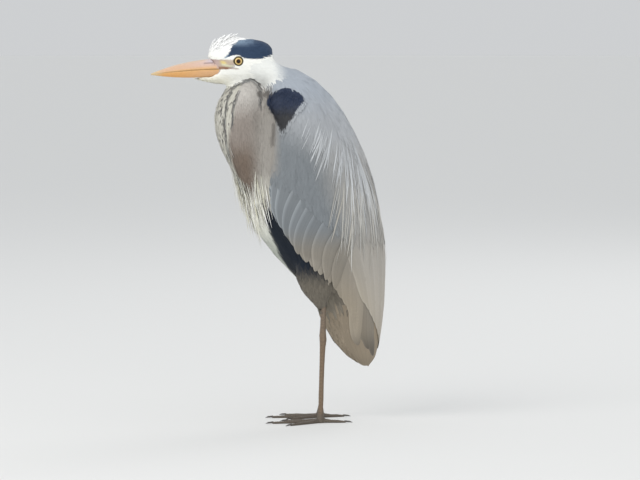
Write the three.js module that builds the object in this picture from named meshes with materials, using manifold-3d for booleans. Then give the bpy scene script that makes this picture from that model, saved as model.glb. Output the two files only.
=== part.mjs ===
// A grey heron standing hunched on both legs, its neck folded down on its breast and its wings closed.
// Millimetres, +Z up. The bird faces -Y, its left side is +X, and the soles of its feet are at z = 0.
import * as THREE from 'three';
import { mergeVertices } from 'three/addons/utils/BufferGeometryUtils.js';
import Module from 'manifold-3d';

const wasm = await Module();
wasm.setup();

// Driving dimensions.
const gap = 0.3; // clearance between touching pieces
const billTip = -206; // y of the point of the bill
const billRoot = -72; // y of the bill's hidden end, inside the head
const eyeRadius = 8.2;
const eyeCentre = [15.4, -55, 630.4]; // of the left eye
const wingTop = 562; // height of the shoulder edge of the folded wing
const wingTip = 101; // height of the tip of the folded wing
const wingThickness = 8.5; // of the folded feathers at mid wing
const wingEdge = 1.2; // of the feathers along the wing's borders
const wingClearance = 1.7; // between the wing and the body it lies on
const wingSplits = [ // cuts across the folded wing: a point on each as [y, z], and its rise in degrees
  { y: -12, z: 378, rise: 22.4 },
  { y: 37, z: 255.5, rise: 29.7 },
];
const tailSplit = { y: 86, z: 191, rise: 30.2 };
const legSpread = 37; // x of each leg
const legPlaces = { left: 86, right: 96 }; // y of each foot
const ankleHeight = 154.5;
const toes = [ // length without the claw, and heading in degrees, outwards from straight ahead
  { name: 'middle', length: 86, heading: 3, thick: 1 },
  { name: 'inner', length: 62, heading: -24, thick: 0.92 },
  { name: 'outer', length: 70, heading: 34, thick: 0.92 },
  { name: 'hind', length: 44, heading: 172, thick: 0.95 },
];
const clawLength = 12;

// Sections. The columns are: place along the axis, lower edge, upper edge, half width, and where
// the section is widest, from 0 at its lower edge to 1 at its upper edge.
// Trunk and tail in level slices: height, front, back, half width, widest place.
const trunkSections = [
  [92, 165, 177, 4, 0.5],
  [107, 142, 186, 12, 0.55],
  [150, 104, 194, 23, 0.6],
  [203, 79, 200, 31, 0.6],
  [255, 42, 202, 45, 0.6],
  [308, -10, 203, 62, 0.58],
  [343, -31, 201, 71, 0.57],
  [378, -43, 197, 77, 0.55],
  [430, -46, 185, 82, 0.53],
  [500, -33, 157, 82, 0.5],
  [560, -18, 121, 73, 0.47],
  [593, -5, 90, 54, 0.46],
  [611, 11, 65, 30, 0.46],
  [619, 30, 48, 10, 0.5],
];
// The doubled neck, hanging in front of the breast, in level slices.
const foldSections = [
  [366, -14, 8, 8, 0.5],
  [378, -29, 18, 24, 0.5],
  [401, -46, 25, 38, 0.5],
  [430, -60, 20, 45, 0.5],
  [460, -77, 14, 49, 0.5],
  [492, -91, 11, 50, 0.5],
  [523, -97.5, 8, 48, 0.5],
  [553, -93.5, 2, 42, 0.5],
  [576, -82, -7, 33, 0.5],
  [589, -68, -16, 21, 0.5],
  [596, -50, -28, 8, 0.5],
];
// From the nape back to the shoulders, in upright slices: y, lower edge, upper edge, half width.
const napeSections = [
  [-42, 600, 648, 22, 0.5],
  [-12, 588, 643, 26, 0.5],
  [6, 580, 640, 30, 0.5],
  [27, 567, 621.5, 38, 0.5],
  [40, 558, 620, 43, 0.5],
  [62, 548, 606, 44, 0.5],
];
const headSections = [
  [-107.5, 622, 640, 7, 0.5],
  [-104.5, 606, 654, 10.5, 0.5],
  [-99, 600, 661.5, 12.5, 0.5],
  [-82, 591, 671, 17, 0.5],
  [-66, 589, 674, 20, 0.5],
  [-50, 590, 673, 22, 0.5],
  [-15, 595, 665, 22.5, 0.45],
  [-1, 597, 654.5, 19, 0.45],
  [7.5, 604, 642, 12, 0.5],
];
const chinSections = [
  [-136, 599.5, 601.5, 1.5, 0.6],
  [-120, 596.5, 604, 5, 0.6],
  [-100, 592.5, 607, 9, 0.6],
  [-70, 588.5, 612, 14, 0.6],
  [-50, 592, 608, 10, 0.5],
];
const crestSections = [
  [-47, 655, 669.5, 12, 0.4],
  [-33, 641, 671, 22, 0.3],
  [-15, 634, 667.5, 23.5, 0.3],
  [-3, 634, 664, 20.5, 0.35],
  [4, 637, 658, 13, 0.4],
  [8, 642, 652, 5, 0.5],
];
// The bill: y, mouth line, ridge and half width of the upper half, then keel and half width below.
const billSections = [
  { y: billTip, mouth: 607.3, ridge: 608.3, wide: 0.8, keel: 606.3, wideLow: 0.7 },
  { y: -181.6, mouth: 610.4, ridge: 618, wide: 4.2, keel: 603.4, wideLow: 4 },
  { y: -155.3, mouth: 612.8, ridge: 625.8, wide: 6.5, keel: 601.6, wideLow: 6.2 },
  { y: -129, mouth: 614.8, ridge: 630.7, wide: 8.4, keel: 601.5, wideLow: 8 },
  { y: -106.3, mouth: 616, ridge: 633.7, wide: 10, keel: 602.4, wideLow: 9.6 },
  { y: billRoot, mouth: 616.5, ridge: 634.4, wide: 11, keel: 603.4, wideLow: 10.6 },
];
// Plumes that hang over the breast, in level slices.
const plumeSections = [
  [338, -55, -49, 3, 0.5],
  [354, -58, -20, 26, 0.5],
  [380, -62, 8, 46, 0.5],
  [405, -64, 16, 53, 0.5],
  [430, -68, 12, 55, 0.5],
  [448, -75, -4, 52, 0.5],
  [460, -79, -38, 30, 0.5],
];
// The dark tuft at the bend of the left wing, with the x of its middle as the last column.
const shoulderSections = [
  [507, 17, 22, 3, 0.5, 72],
  [530, 6, 34, 12, 0.5, 69],
  [552, -6, 50, 17, 0.5, 61],
  [572, -1, 49, 18, 0.5, 50],
  [584, 11, 35, 10, 0.5, 44],
];
// The feathered thigh: height, front, back, half width; its middle lies at the leg's x.
const thighSections = [
  [197, 80, 98, 6.5, 0.5],
  [212, 67, 101, 10, 0.5],
  [228, 52, 105, 14.5, 0.5],
  [255, 40, 111, 19, 0.5],
  [280, 43, 113, 20, 0.5],
  [300, 57, 105, 15, 0.5],
  [308, 72, 94, 7, 0.5],
];
// Bare leg, measured from the middle of the foot.
const tibiaSections = [
  [ankleHeight + gap, -1.5, 10, 5.2, 0.5],
  [163, -0.8, 9.4, 4.9, 0.5],
  [182, 0, 9, 4.3, 0.5],
  [206, -0.5, 10.5, 5.2, 0.5],
];
const tarsusSections = [
  [0, -8.5, 8, 8, 0.5],
  [6, -8.5, 7.5, 8, 0.5],
  [14, -5, 5, 5, 0.5],
  [40, -3.6, 5.2, 4.1, 0.5],
  [110, -1.8, 7.4, 4.1, 0.5],
  [138, -1.6, 9.4, 5, 0.5],
  [148, -2.6, 11, 6.4, 0.5],
  [ankleHeight, -1.5, 10, 5.2, 0.5],
];

// Sides and rings of each body.
const detail = {
  trunk: { sides: 20, rings: 15 },
  fold: { sides: 14, rings: 10 },
  nape: { sides: 12, rings: 5 },
  head: { sides: 14, rings: 10 },
  chin: { sides: 8, rings: 4 },
  crest: { sides: 12, rings: 6 },
  bill: { sides: 8, rings: 6 },
  plumes: { sides: 14, rings: 7 },
  shoulder: { sides: 10, rings: 5 },
  thigh: { sides: 10, rings: 6 },
  tibia: { sides: 8, rings: 4 },
  tarsus: { sides: 8, rings: 10 },
  toe: { sides: 8, rings: 5 },
  claw: { sides: 6, rings: 3 },
  wing: { columns: 9 },
};

const materials = {
  white: new THREE.MeshStandardMaterial({ color: 0xe6e5dc, roughness: 0.9 }),
  grey: new THREE.MeshStandardMaterial({ color: 0x8f969e, roughness: 0.85 }),
  mauve: new THREE.MeshStandardMaterial({ color: 0x8c8680, roughness: 0.9 }),
  slate: new THREE.MeshStandardMaterial({ color: 0x6d7278, roughness: 0.85 }),
  black: new THREE.MeshStandardMaterial({ color: 0x232a3a, roughness: 0.8 }),
  bill: new THREE.MeshStandardMaterial({ color: 0xd6954f, roughness: 0.45 }),
  leg: new THREE.MeshStandardMaterial({ color: 0x7d6a52, roughness: 0.7 }),
  claw: new THREE.MeshStandardMaterial({ color: 0x2e2823, roughness: 0.5 }),
  eye: new THREE.MeshStandardMaterial({ color: 0xd8b23a, roughness: 0.1 }),
};

const heron = new THREE.Group();
heron.name = 'grey_heron';

// Smooth curve through the rows of a table, by its first column.
function through(rows) {
  const places = rows.map((row) => row[0]);
  const columns = rows[0].length - 1;
  const values = rows.flatMap((row) => row.slice(1));
  const curve = new THREE.CubicInterpolant(places, values, columns, new Float32Array(columns));
  return (place) => Array.from(curve.evaluate(THREE.MathUtils.clamp(place, places[0], places.at(-1))));
}

// Turns a list of triangles round where they point inwards.
function facingOut(positions, triangles) {
  const corner = (i) => new THREE.Vector3().fromArray(positions, i * 3);
  let volume = 0;
  for (let t = 0; t < triangles.length; t += 3) {
    const [a, b, c] = [0, 1, 2].map((k) => corner(triangles[t + k]));
    volume += a.dot(b.cross(c));
  }
  if (volume < 0) triangles.reverse();
  const geometry = new THREE.BufferGeometry();
  geometry.setAttribute('position', new THREE.Float32BufferAttribute(positions, 3));
  geometry.setIndex(triangles);
  return geometry;
}

// Joins rings of equal count into a closed body with a flat or pointed end at each end.
function skinRings(rings) {
  const sides = rings[0].length;
  const positions = rings.flat(2);
  const triangles = [];
  for (let i = 0; i + 1 < rings.length; i += 1) {
    for (let j = 0; j < sides; j += 1) {
      const [a, b] = [i * sides + j, i * sides + ((j + 1) % sides)];
      triangles.push(a, b, b + sides, a, b + sides, a + sides);
    }
  }
  for (const [ring, first] of [[rings[0], 0], [rings.at(-1), (rings.length - 1) * sides]]) {
    const middle = positions.length / 3;
    for (let k = 0; k < 3; k += 1) {
      positions.push(ring.reduce((sum, point) => sum + point[k], 0) / sides);
    }
    for (let j = 0; j < sides; j += 1) {
      const pair = [first + ((j + 1) % sides), first + j];
      triangles.push(middle, ...(first === 0 ? pair : pair.reverse()));
    }
  }
  return facingOut(positions, triangles);
}

// A point on a section at an angle: 0 is its lower edge, half a turn its upper edge.
function onSection([low, high, half, widest, middle = 0], angle, grow = 0) {
  const place = low + (high - low) * widest;
  const reach = Math.cos(angle) > 0 ? place - low + grow : high - place + grow;
  return [middle + (half + grow) * Math.sin(angle), place - reach * Math.cos(angle)];
}

// The share of the way along a body where its ring i lies: rings crowd a little towards both ends.
function ringShare(i, rings) {
  return i / rings / 2 + (1 - Math.cos((Math.PI * i) / rings)) / 4;
}

// A body through a table of sections along Y or Z.
function loft(axis, sections, { sides, rings }, grow = 0, floor = -Infinity) {
  const curve = through(sections);
  const [first, last] = [sections[0][0], sections.at(-1)[0]];
  const list = [];
  for (let i = 0; i <= rings; i += 1) {
    const share = ringShare(i, rings);
    const place = THREE.MathUtils.lerp(first, last, share);
    const shifted = place + grow * (2 * share - 1);
    const section = curve(place);
    list.push(Array.from({ length: sides }, (_, j) => {
      const [x, along] = onSection(section, (2 * Math.PI * j) / sides, grow);
      return axis === 'z' ? [x, along, Math.max(shifted, floor)] : [x, shifted, Math.max(along, floor)];
    }));
  }
  return skinRings(list);
}

// The same body on the right side of the bird.
function mirrored(geometry) {
  const flipped = geometry.clone();
  flipped.scale(-1, 1, 1);
  flipped.setIndex(Array.from(geometry.index.array).reverse());
  return flipped;
}

function solid(geometry) {
  const bare = geometry.clone();
  bare.deleteAttribute('normal');
  bare.deleteAttribute('uv');
  const merged = mergeVertices(bare, 1e-4);
  return new wasm.Manifold(new wasm.Mesh({
    numProp: 3,
    vertProperties: Float32Array.from(merged.attributes.position.array),
    triVerts: Uint32Array.from(merged.index.array),
  }));
}

function cutBy(body, ...others) {
  return others.reduce((rest, other) => rest.subtract(other), body);
}

// Adds a finished solid to the bird, or to a group of it, as a named piece.
function place(name, body, material, group = heron) {
  const mesh = body.getMesh();
  const geometry = new THREE.BufferGeometry();
  geometry.setAttribute('position', new THREE.Float32BufferAttribute(mesh.vertProperties, 3));
  geometry.setIndex(Array.from(mesh.triVerts));
  geometry.computeVertexNormals();
  const piece = new THREE.Mesh(geometry, materials[material]);
  piece.name = name;
  group.add(piece);
}

// A large block that covers one side of a sloping cut right through the bird.
function blockBeside({ y, z, rise }, side) {
  const size = 1200;
  const block = new THREE.BoxGeometry(size, size, size);
  block.translate(0, 0, side * (size / 2 + gap / 2));
  block.rotateX(THREE.MathUtils.degToRad(rise));
  block.translate(0, y, z);
  return solid(block);
}

// Front border of the folded wing: height and y. The border runs from the shoulder down the breast,
// then slants back along the tips of the wing feathers to the tip of the wing.
const wingFront = through([
  [101, 155], [141, 148], [194, 136], [238, 99.4], [273, 63.4], [308, 36], [343, 12.4],
  [378, -5.6], [404, -8], [474, 1], [509, 2.7], [544, 5], [562, 14],
]);
const trunkAt = through(trunkSections);

// Angle round the trunk of the wing's rear border: it nears the middle of the back lower down.
function wingBack(height) {
  const lowered = THREE.MathUtils.clamp((wingTop - height) / 254, 0, 1);
  return THREE.MathUtils.degToRad(120 + 52 * lowered);
}

// Heights of the trunk's rings between the wing's tip and top, so that the wing lies evenly on it.
const trunkLevels = Array.from({ length: detail.trunk.rings }, (_, i) => THREE.MathUtils.lerp(
  trunkSections[0][0], trunkSections.at(-1)[0], ringShare(i, detail.trunk.rings),
)).filter((height) => height > wingTip + 4 && height < wingTop - 4);

// The folded left wing, a thin shell that lies on the trunk.
function wingShell(grow = 0) {
  const { columns } = detail.wing;
  const rings = [];
  for (const height of [wingTip - grow, ...trunkLevels, wingTop + grow]) {
    const share = THREE.MathUtils.inverseLerp(wingTip, wingTop, height);
    const section = trunkAt(height);
    const [front, back, half, widest] = section;
    const middle = front + (back - front) * widest;
    const borderY = Math.min(wingFront(height)[0], back - 1);
    const toFront = (middle - borderY) / (borderY < middle ? middle - front : back - middle);
    const start = Math.acos(THREE.MathUtils.clamp(toFront, -1, 1)) - grow / half;
    const end = Math.max(wingBack(height), start + 0.25) + grow / half;
    const fullness = Math.sqrt(Math.sin(Math.PI * THREE.MathUtils.clamp(0.06 + 0.9 * share, 0, 1)));
    const [inner, outer] = [[], []];
    for (let j = 0; j <= columns; j += 1) {
      const across = j / columns;
      const angle = THREE.MathUtils.lerp(start, end, across);
      const [x, y] = onSection(section, angle);
      const reach = y < middle ? middle - front : back - middle;
      const normal = new THREE.Vector2(x / half ** 2, (y - middle) / reach ** 2).normalize();
      const bulge = (wingThickness - wingEdge) * fullness * Math.sqrt(Math.sin(Math.PI * across));
      const near = wingClearance - grow;
      const far = wingClearance + wingEdge + bulge + grow;
      inner.push([x + normal.x * near, y + normal.y * near, height]);
      outer.push([x + normal.x * far, y + normal.y * far, height]);
    }
    rings.push([...outer, ...inner.reverse()]);
  }
  return skinRings(rings);
}

// A foot's toe or claw, laid along its heading from the middle of the foot.
function headed(geometry, heading, outwards) {
  geometry.rotateZ(THREE.MathUtils.degToRad(180 + heading * outwards));
  return geometry;
}

function toeBody({ length, thick }, grow = 0) {
  const [height, half] = [7 * thick, 4 * thick];
  const sections = [
    [5, -1.5, height * 1.2, half * 1.15, 0.45],
    [length * 0.34, -1.5, height, half, 0.45],
    [length * 0.5, -1.5, height * 0.78, half * 0.84, 0.45],
    [length * 0.68, -1.5, height * 0.82, half * 0.88, 0.45],
    [length * 0.84, -1.5, height * 0.64, half * 0.72, 0.45],
    [length, -1, height * 0.56, half * 0.55, 0.45],
  ];
  return loft('y', sections, detail.toe, grow, -grow);
}

function clawBody({ length, thick }) {
  const sections = [
    [length - 2, 0.7, 4.2 * thick, 1.7 * thick, 0.5],
    [length + clawLength * 0.35, 1, 4.6 * thick, 1.5 * thick, 0.5],
    [length + clawLength * 0.75, 0.6, 3.2 * thick, 0.9 * thick, 0.5],
    [length + clawLength, 0.2, 1, 0.35, 0.5],
  ];
  return loft('y', sections, detail.claw);
}

function addLeg(side) {
  const outwards = side === 'left' ? 1 : -1;
  const group = new THREE.Group();
  group.name = `leg_${side}`;
  group.position.set(legSpread * outwards, legPlaces[side], 0);
  heron.add(group);
  place(`tibia_${side}`, solid(loft('z', tibiaSections, detail.tibia)), 'leg', group);
  place(`tarsus_${side}`, solid(loft('z', tarsusSections, detail.tarsus)), 'leg', group);
  const cutters = [solid(loft('z', tarsusSections, detail.tarsus, gap))];
  for (const toe of toes) {
    const body = solid(headed(toeBody(toe), toe.heading, outwards));
    place(`toe_${toe.name}_${side}`, cutBy(body, ...cutters), 'leg', group);
    const around = solid(headed(toeBody(toe, gap), toe.heading, outwards));
    const claw = solid(headed(clawBody(toe), toe.heading, outwards));
    place(`claw_${toe.name}_${side}`, cutBy(claw, around), 'claw', group);
    cutters.push(around);
  }
}

function addHead() {
  const upper = billSections.map((s) => [s.y, s.mouth + gap / 2, s.ridge, s.wide, 0.25]);
  const lower = billSections.map((s) => [s.y, s.keel, s.mouth - gap / 2, s.wideLow, 0.75]);
  place('bill_upper', solid(loft('y', upper, detail.bill)), 'bill');
  place('bill_lower', solid(loft('y', lower, detail.bill)), 'bill');
  const around = [upper, lower].map((table) => solid(loft('y', table, detail.bill, gap)));
  for (const [side, outwards] of [['left', 1], ['right', -1]]) {
    const [x, y, z] = [eyeCentre[0] * outwards, eyeCentre[1], eyeCentre[2]];
    const ball = (radius) => solid(new THREE.SphereGeometry(radius, 12, 8).translate(x, y, z));
    place(`eye_${side}`, ball(eyeRadius), 'eye');
    around.push(ball(eyeRadius + gap));
  }
  place('crest', solid(loft('y', crestSections, detail.crest)), 'black');
  around.push(solid(loft('y', crestSections, detail.crest, gap)));
  const chin = solid(loft('y', chinSections, detail.chin));
  const skull = solid(loft('y', headSections, detail.head));
  place('head', cutBy(skull.add(chin), ...around), 'white');
}

// Grown bodies, which the pieces that lie against them are cut by.
const grown = {
  head: solid(loft('y', headSections, detail.head, gap))
    .add(solid(loft('y', chinSections, detail.chin, gap)))
    .add(solid(loft('y', crestSections, detail.crest, gap))),
  nape: solid(loft('y', napeSections, detail.nape, gap)),
  fold: solid(loft('z', foldSections, detail.fold, gap)),
  trunk: solid(loft('z', trunkSections, detail.trunk, gap)),
};
const [shoulder, thigh, wing] = [{}, {}, {}];
for (const [side, turned] of [['left', (g) => g], ['right', mirrored]]) {
  const outwards = side === 'left' ? 1 : -1;
  const shoulderBody = (grow) => solid(turned(loft('z', shoulderSections, detail.shoulder, grow)));
  shoulder[side] = { body: shoulderBody(0), around: shoulderBody(gap) };
  wing[side] = { body: solid(turned(wingShell())), around: solid(turned(wingShell(gap))) };
  const legShift = [outwards * legSpread, legPlaces[side] - legPlaces.left, 0];
  const thighBody = (grow) => solid(
    loft('z', thighSections, detail.thigh, grow).translate(...legShift),
  );
  const tibiaAround = loft('z', tibiaSections, detail.tibia, gap);
  tibiaAround.translate(outwards * legSpread, legPlaces[side], 0);
  thigh[side] = { body: thighBody(0), around: thighBody(gap), tibia: solid(tibiaAround) };
}
const bothSides = (pieces) => [pieces.left.around, pieces.right.around];

addHead();
place('neck_upper', cutBy(
  solid(loft('y', napeSections, detail.nape)),
  grown.head,
), 'white');
place('neck_fold', cutBy(
  solid(loft('z', foldSections, detail.fold)),
  grown.head, grown.nape,
), 'mauve');
const trunk = cutBy(
  solid(loft('z', trunkSections, detail.trunk)),
  grown.nape, grown.fold, ...bothSides(shoulder), ...bothSides(thigh),
);
place('trunk', trunk.intersect(blockBeside(tailSplit, 1)), 'grey');
place('tail', trunk.intersect(blockBeside(tailSplit, -1)), 'slate');
for (const side of ['left', 'right']) {
  place(`shoulder_${side}`, cutBy(shoulder[side].body, grown.fold, grown.nape), 'black');
  const folded = cutBy(wing[side].body, shoulder[side].around, grown.fold);
  const [high, low] = wingSplits;
  place(`wing_${side}_coverts`, folded.intersect(blockBeside(high, 1)), 'grey');
  place(`wing_${side}_secondaries`,
    folded.intersect(blockBeside(high, -1)).intersect(blockBeside(low, 1)), 'grey');
  place(`wing_${side}_primaries`, folded.intersect(blockBeside(low, -1)), 'slate');
  place(`thigh_${side}`, cutBy(thigh[side].body, thigh[side].tibia, wing[side].around), 'grey');
  addLeg(side);
}
place('breast_plumes', cutBy(
  solid(loft('z', plumeSections, detail.plumes)),
  grown.fold, grown.trunk, ...bothSides(wing),
), 'white');

export default heron;
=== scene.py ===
# A grey heron standing hunched, its neck folded on its breast and its wings closed, in feathers
# that are solid vanes laid over one skin. Sizes and places are in millimetres of the bird.
import math
import bpy
import numpy as np
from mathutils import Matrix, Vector
from mathutils.bvhtree import BVHTree
from mathutils.kdtree import KDTree


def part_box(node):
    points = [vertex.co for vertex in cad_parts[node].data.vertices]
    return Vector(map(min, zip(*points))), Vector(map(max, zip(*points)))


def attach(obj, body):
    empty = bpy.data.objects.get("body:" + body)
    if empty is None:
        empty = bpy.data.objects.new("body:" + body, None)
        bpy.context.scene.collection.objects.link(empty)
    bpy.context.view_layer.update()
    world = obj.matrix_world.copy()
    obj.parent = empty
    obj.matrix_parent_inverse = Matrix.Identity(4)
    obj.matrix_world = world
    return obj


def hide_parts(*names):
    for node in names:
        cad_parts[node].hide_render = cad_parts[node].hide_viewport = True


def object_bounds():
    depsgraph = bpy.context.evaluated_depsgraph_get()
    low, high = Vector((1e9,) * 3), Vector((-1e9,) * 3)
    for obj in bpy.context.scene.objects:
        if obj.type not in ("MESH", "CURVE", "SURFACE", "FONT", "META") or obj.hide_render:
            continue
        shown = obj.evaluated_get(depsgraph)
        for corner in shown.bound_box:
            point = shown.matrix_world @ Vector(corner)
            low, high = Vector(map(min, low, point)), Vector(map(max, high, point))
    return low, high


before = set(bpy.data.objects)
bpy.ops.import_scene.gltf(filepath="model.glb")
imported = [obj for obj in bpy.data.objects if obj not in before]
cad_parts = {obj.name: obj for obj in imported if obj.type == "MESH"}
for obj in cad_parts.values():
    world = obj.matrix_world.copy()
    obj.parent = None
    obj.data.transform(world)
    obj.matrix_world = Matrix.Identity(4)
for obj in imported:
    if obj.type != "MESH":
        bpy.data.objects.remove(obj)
cadLow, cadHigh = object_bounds()
birdHeight = 674.07
mm = (cadHigh.z - cadLow.z) / birdHeight
chance = np.random.default_rng(11)
sides = ("left", "right")
print("frame loaded")


def deselect():
    if bpy.context.object and bpy.context.object.mode != "OBJECT":
        bpy.ops.object.mode_set(mode="OBJECT")
    bpy.ops.object.select_all(action="DESELECT")


def choose(piece):
    deselect()
    piece.select_set(True)
    bpy.context.view_layer.objects.active = piece


def editAll(piece, action, **values):  # one edit mode operator on a whole mesh
    choose(piece)
    bpy.ops.object.mode_set(mode="EDIT")
    bpy.ops.mesh.select_all(action="SELECT")
    action(**values)
    bpy.ops.object.mode_set(mode="OBJECT")


def modify(piece, kind, **values):
    modifier = piece.modifiers.new(kind.title(), kind)
    for key, value in values.items():
        setattr(modifier, key, value)
    choose(piece)
    bpy.ops.object.modifier_apply(modifier=modifier.name)


def aim(piece, way):
    piece.rotation_euler = way.to_track_quat("Z", "Y").to_euler()


def ramp(low, high, value):  # a smooth step from 0 at low to 1 at high
    share = np.clip((value - low) / (high - low), 0, 1)
    return share * share * (3 - 2 * share)


def fall(low, high, value):  # from 1 at low to 0 at high
    return 1 - ramp(low, high, value)


def past(edge, soft, value):  # from 0 before an edge to 1 past it
    return ramp(edge - soft, edge + soft, value)


def mix(first, second, share):
    share = np.asarray(share)[..., None]
    return np.asarray(first) * (1 - share) + np.asarray(second) * share


def unit(vectors):
    return vectors / np.maximum(np.linalg.norm(vectors, axis=-1, keepdims=True), 1e-9)


def drawn(low, high, count):  # even draws
    return low + (high - low) * chance.random(count)


def readAll(collection, attribute, width, kind=np.float32):
    values = np.empty(len(collection) * width, kind)
    collection.foreach_get(attribute, values)
    return values.reshape(-1, width)


def pointsOf(mesh):
    return readAll(mesh.vertices, "co", 3).astype(float) / mm


def normalsOf(mesh):
    return readAll(mesh.vertex_normals, "vector", 3).astype(float)


def trianglesOf(mesh, what="vertices"):
    mesh.calc_loop_triangles()
    return readAll(mesh.loop_triangles, what, 3, np.int32)


def setPoints(mesh, points):
    mesh.vertices.foreach_set("co", (points * mm).astype(np.float32).ravel())
    mesh.update()


def treeOf(meshes):  # all their faces in one tree, for finding places on them
    points = [pointsOf(mesh) for mesh in meshes]
    starts = np.cumsum([0] + [len(p) for p in points])
    faces = [trianglesOf(mesh) + start for mesh, start in zip(meshes, starts)]
    return BVHTree.FromPolygons(np.concatenate(points).tolist(), np.concatenate(faces).tolist())


def meshFrom(name, points, faceGroups):  # faceGroups: arrays of faces, one for each count of corners
    mesh = bpy.data.meshes.new(name)
    corners = np.concatenate([faces.ravel() for faces in faceGroups])
    counts = np.concatenate([np.full(len(faces), faces.shape[1]) for faces in faceGroups])
    starts = np.concatenate([[0], np.cumsum(counts)[:-1]])
    mesh.vertices.add(len(points))
    mesh.loops.add(len(corners))
    mesh.polygons.add(len(counts))
    mesh.vertices.foreach_set("co", (points * mm).astype(np.float32).ravel())
    mesh.loops.foreach_set("vertex_index", corners.astype(np.int32))
    mesh.polygons.foreach_set("loop_start", starts.astype(np.int32))
    mesh.polygons.foreach_set("use_smooth", np.ones(len(counts), bool))
    mesh.update(calc_edges=True)
    piece = bpy.data.objects.new(name, mesh)
    bpy.context.scene.collection.objects.link(piece)
    return piece


def paint(mesh, colours):
    rgba = np.ones((len(colours), 4), np.float32)
    rgba[:, :3] = colours
    mesh.attributes.new("plumage", "FLOAT_COLOR", "POINT").data.foreach_set("color", rgba.ravel())


def setMap(mesh, name, uvs):  # uvs: one for each face corner
    layer = mesh.uv_layers.get(name) or mesh.uv_layers.new(name=name)
    layer.uv.foreach_set("vector", uvs.astype(np.float32).ravel())


def fill(tree, node, sockets):  # sets sockets to values, or links them where another node's output is given
    for key, value in sockets.items():
        if isinstance(value, bpy.types.NodeSocket):
            tree.links.new(value, node.inputs[key])
        else:
            node.inputs[key].default_value = value


def newNode(tree, kind, sockets, **settings):
    node = tree.nodes.new("ShaderNode" + kind)
    for key, value in settings.items():
        setattr(node, key, value)
    fill(tree, node, sockets)
    return node


def newMaterial(name, sockets):
    material = bpy.data.materials.new(name)
    material.use_nodes = True
    tree = material.node_tree
    fill(tree, tree.nodes["Principled BSDF"], sockets)
    return material, tree, tree.nodes["Principled BSDF"]


def addToBird(piece, finish=None, replaced=()):
    # Gives a finished piece its material and body, and hides the solids that it stands in for.
    if finish:
        piece.data.materials.append(finishes[finish])
    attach(piece, "root")
    if replaced:
        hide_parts(*replaced)
    print(piece.name, len(piece.data.polygons), "faces")


cameraView = {"target": (0, 90, 317), "azimuth": 82, "elevation": 4, "distance": 6000, "lens": 192.9}
studio = {
    "floorRadius": 40, "floorColour": (0.72, 0.72, 0.71, 1), "floorRoughness": 0.9,
    "sky": (0.96, 0.98, 1.0, 1), "skyStrength": 0.86, "backdrop": 0.64,
    "lamps": {  # place, size, energy, colour
        "key": ((2.0, -2.6, 3.4), 2.6, 62, (1, 0.98, 0.95)),
        "fill": ((4.2, 0.4, 0.7), 3.0, 44, (1, 0.99, 0.97)),
        "rim": ((-2.6, 2.4, 3.2), 2.0, 26, (1, 1, 1)),
    },
}


def wayToCamera():
    turn, rise = math.radians(cameraView["azimuth"]), math.radians(cameraView["elevation"])
    return Vector((math.sin(turn) * math.cos(rise), -math.cos(turn) * math.cos(rise), math.sin(rise)))


def addCamera(target):
    deselect()
    bpy.ops.object.camera_add(location=target + wayToCamera() * cameraView["distance"] * mm)
    camera = bpy.context.object
    camera.name = "camera"
    aim(camera, wayToCamera())
    camera.data.lens = cameraView["lens"]
    camera.data.sensor_width = 36
    camera.data.clip_end = 200
    bpy.context.scene.camera = camera


def addStudio(target):
    deselect()
    bpy.ops.mesh.primitive_circle_add(vertices=96, radius=studio["floorRadius"], fill_type="NGON")
    floor = bpy.context.object
    floor.name = "floor"
    floorLook = {"Base Color": studio["floorColour"], "Roughness": studio["floorRoughness"]}
    floor.data.materials.append(newMaterial("paleFloor", floorLook)[0])
    for name, (place, size, energy, colour) in studio["lamps"].items():
        deselect()
        bpy.ops.object.light_add(type="AREA", location=place)
        lamp = bpy.context.object
        lamp.name = name + "Light"
        lamp.data.size = size
        lamp.data.energy = energy
        lamp.data.color = colour
        aim(lamp, Vector(place) - target)
    world = bpy.data.worlds.new("studioSky")
    world.use_nodes = True
    tree = world.node_tree
    sky = tree.nodes["Background"]
    fill(tree, sky, {"Color": studio["sky"], "Strength": studio["skyStrength"]})
    # What shows behind the floor is as pale as its far end.
    backdrop = newNode(tree, "Background", {"Color": studio["sky"], "Strength": studio["backdrop"]})
    seen = newNode(tree, "LightPath", {}).outputs["Is Camera Ray"]
    either = newNode(tree, "MixShader", {0: seen, 1: sky.outputs[0], 2: backdrop.outputs[0]})
    fill(tree, tree.nodes["World Output"], {"Surface": either.outputs[0]})
    bpy.context.scene.world = world
    bpy.context.scene.view_settings.view_transform = "Standard"  # colours come out as they are mixed


viewTarget = Vector(cameraView["target"]) * mm
addCamera(viewTarget)
addStudio(viewTarget)
print("camera, floor and lights")

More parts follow.
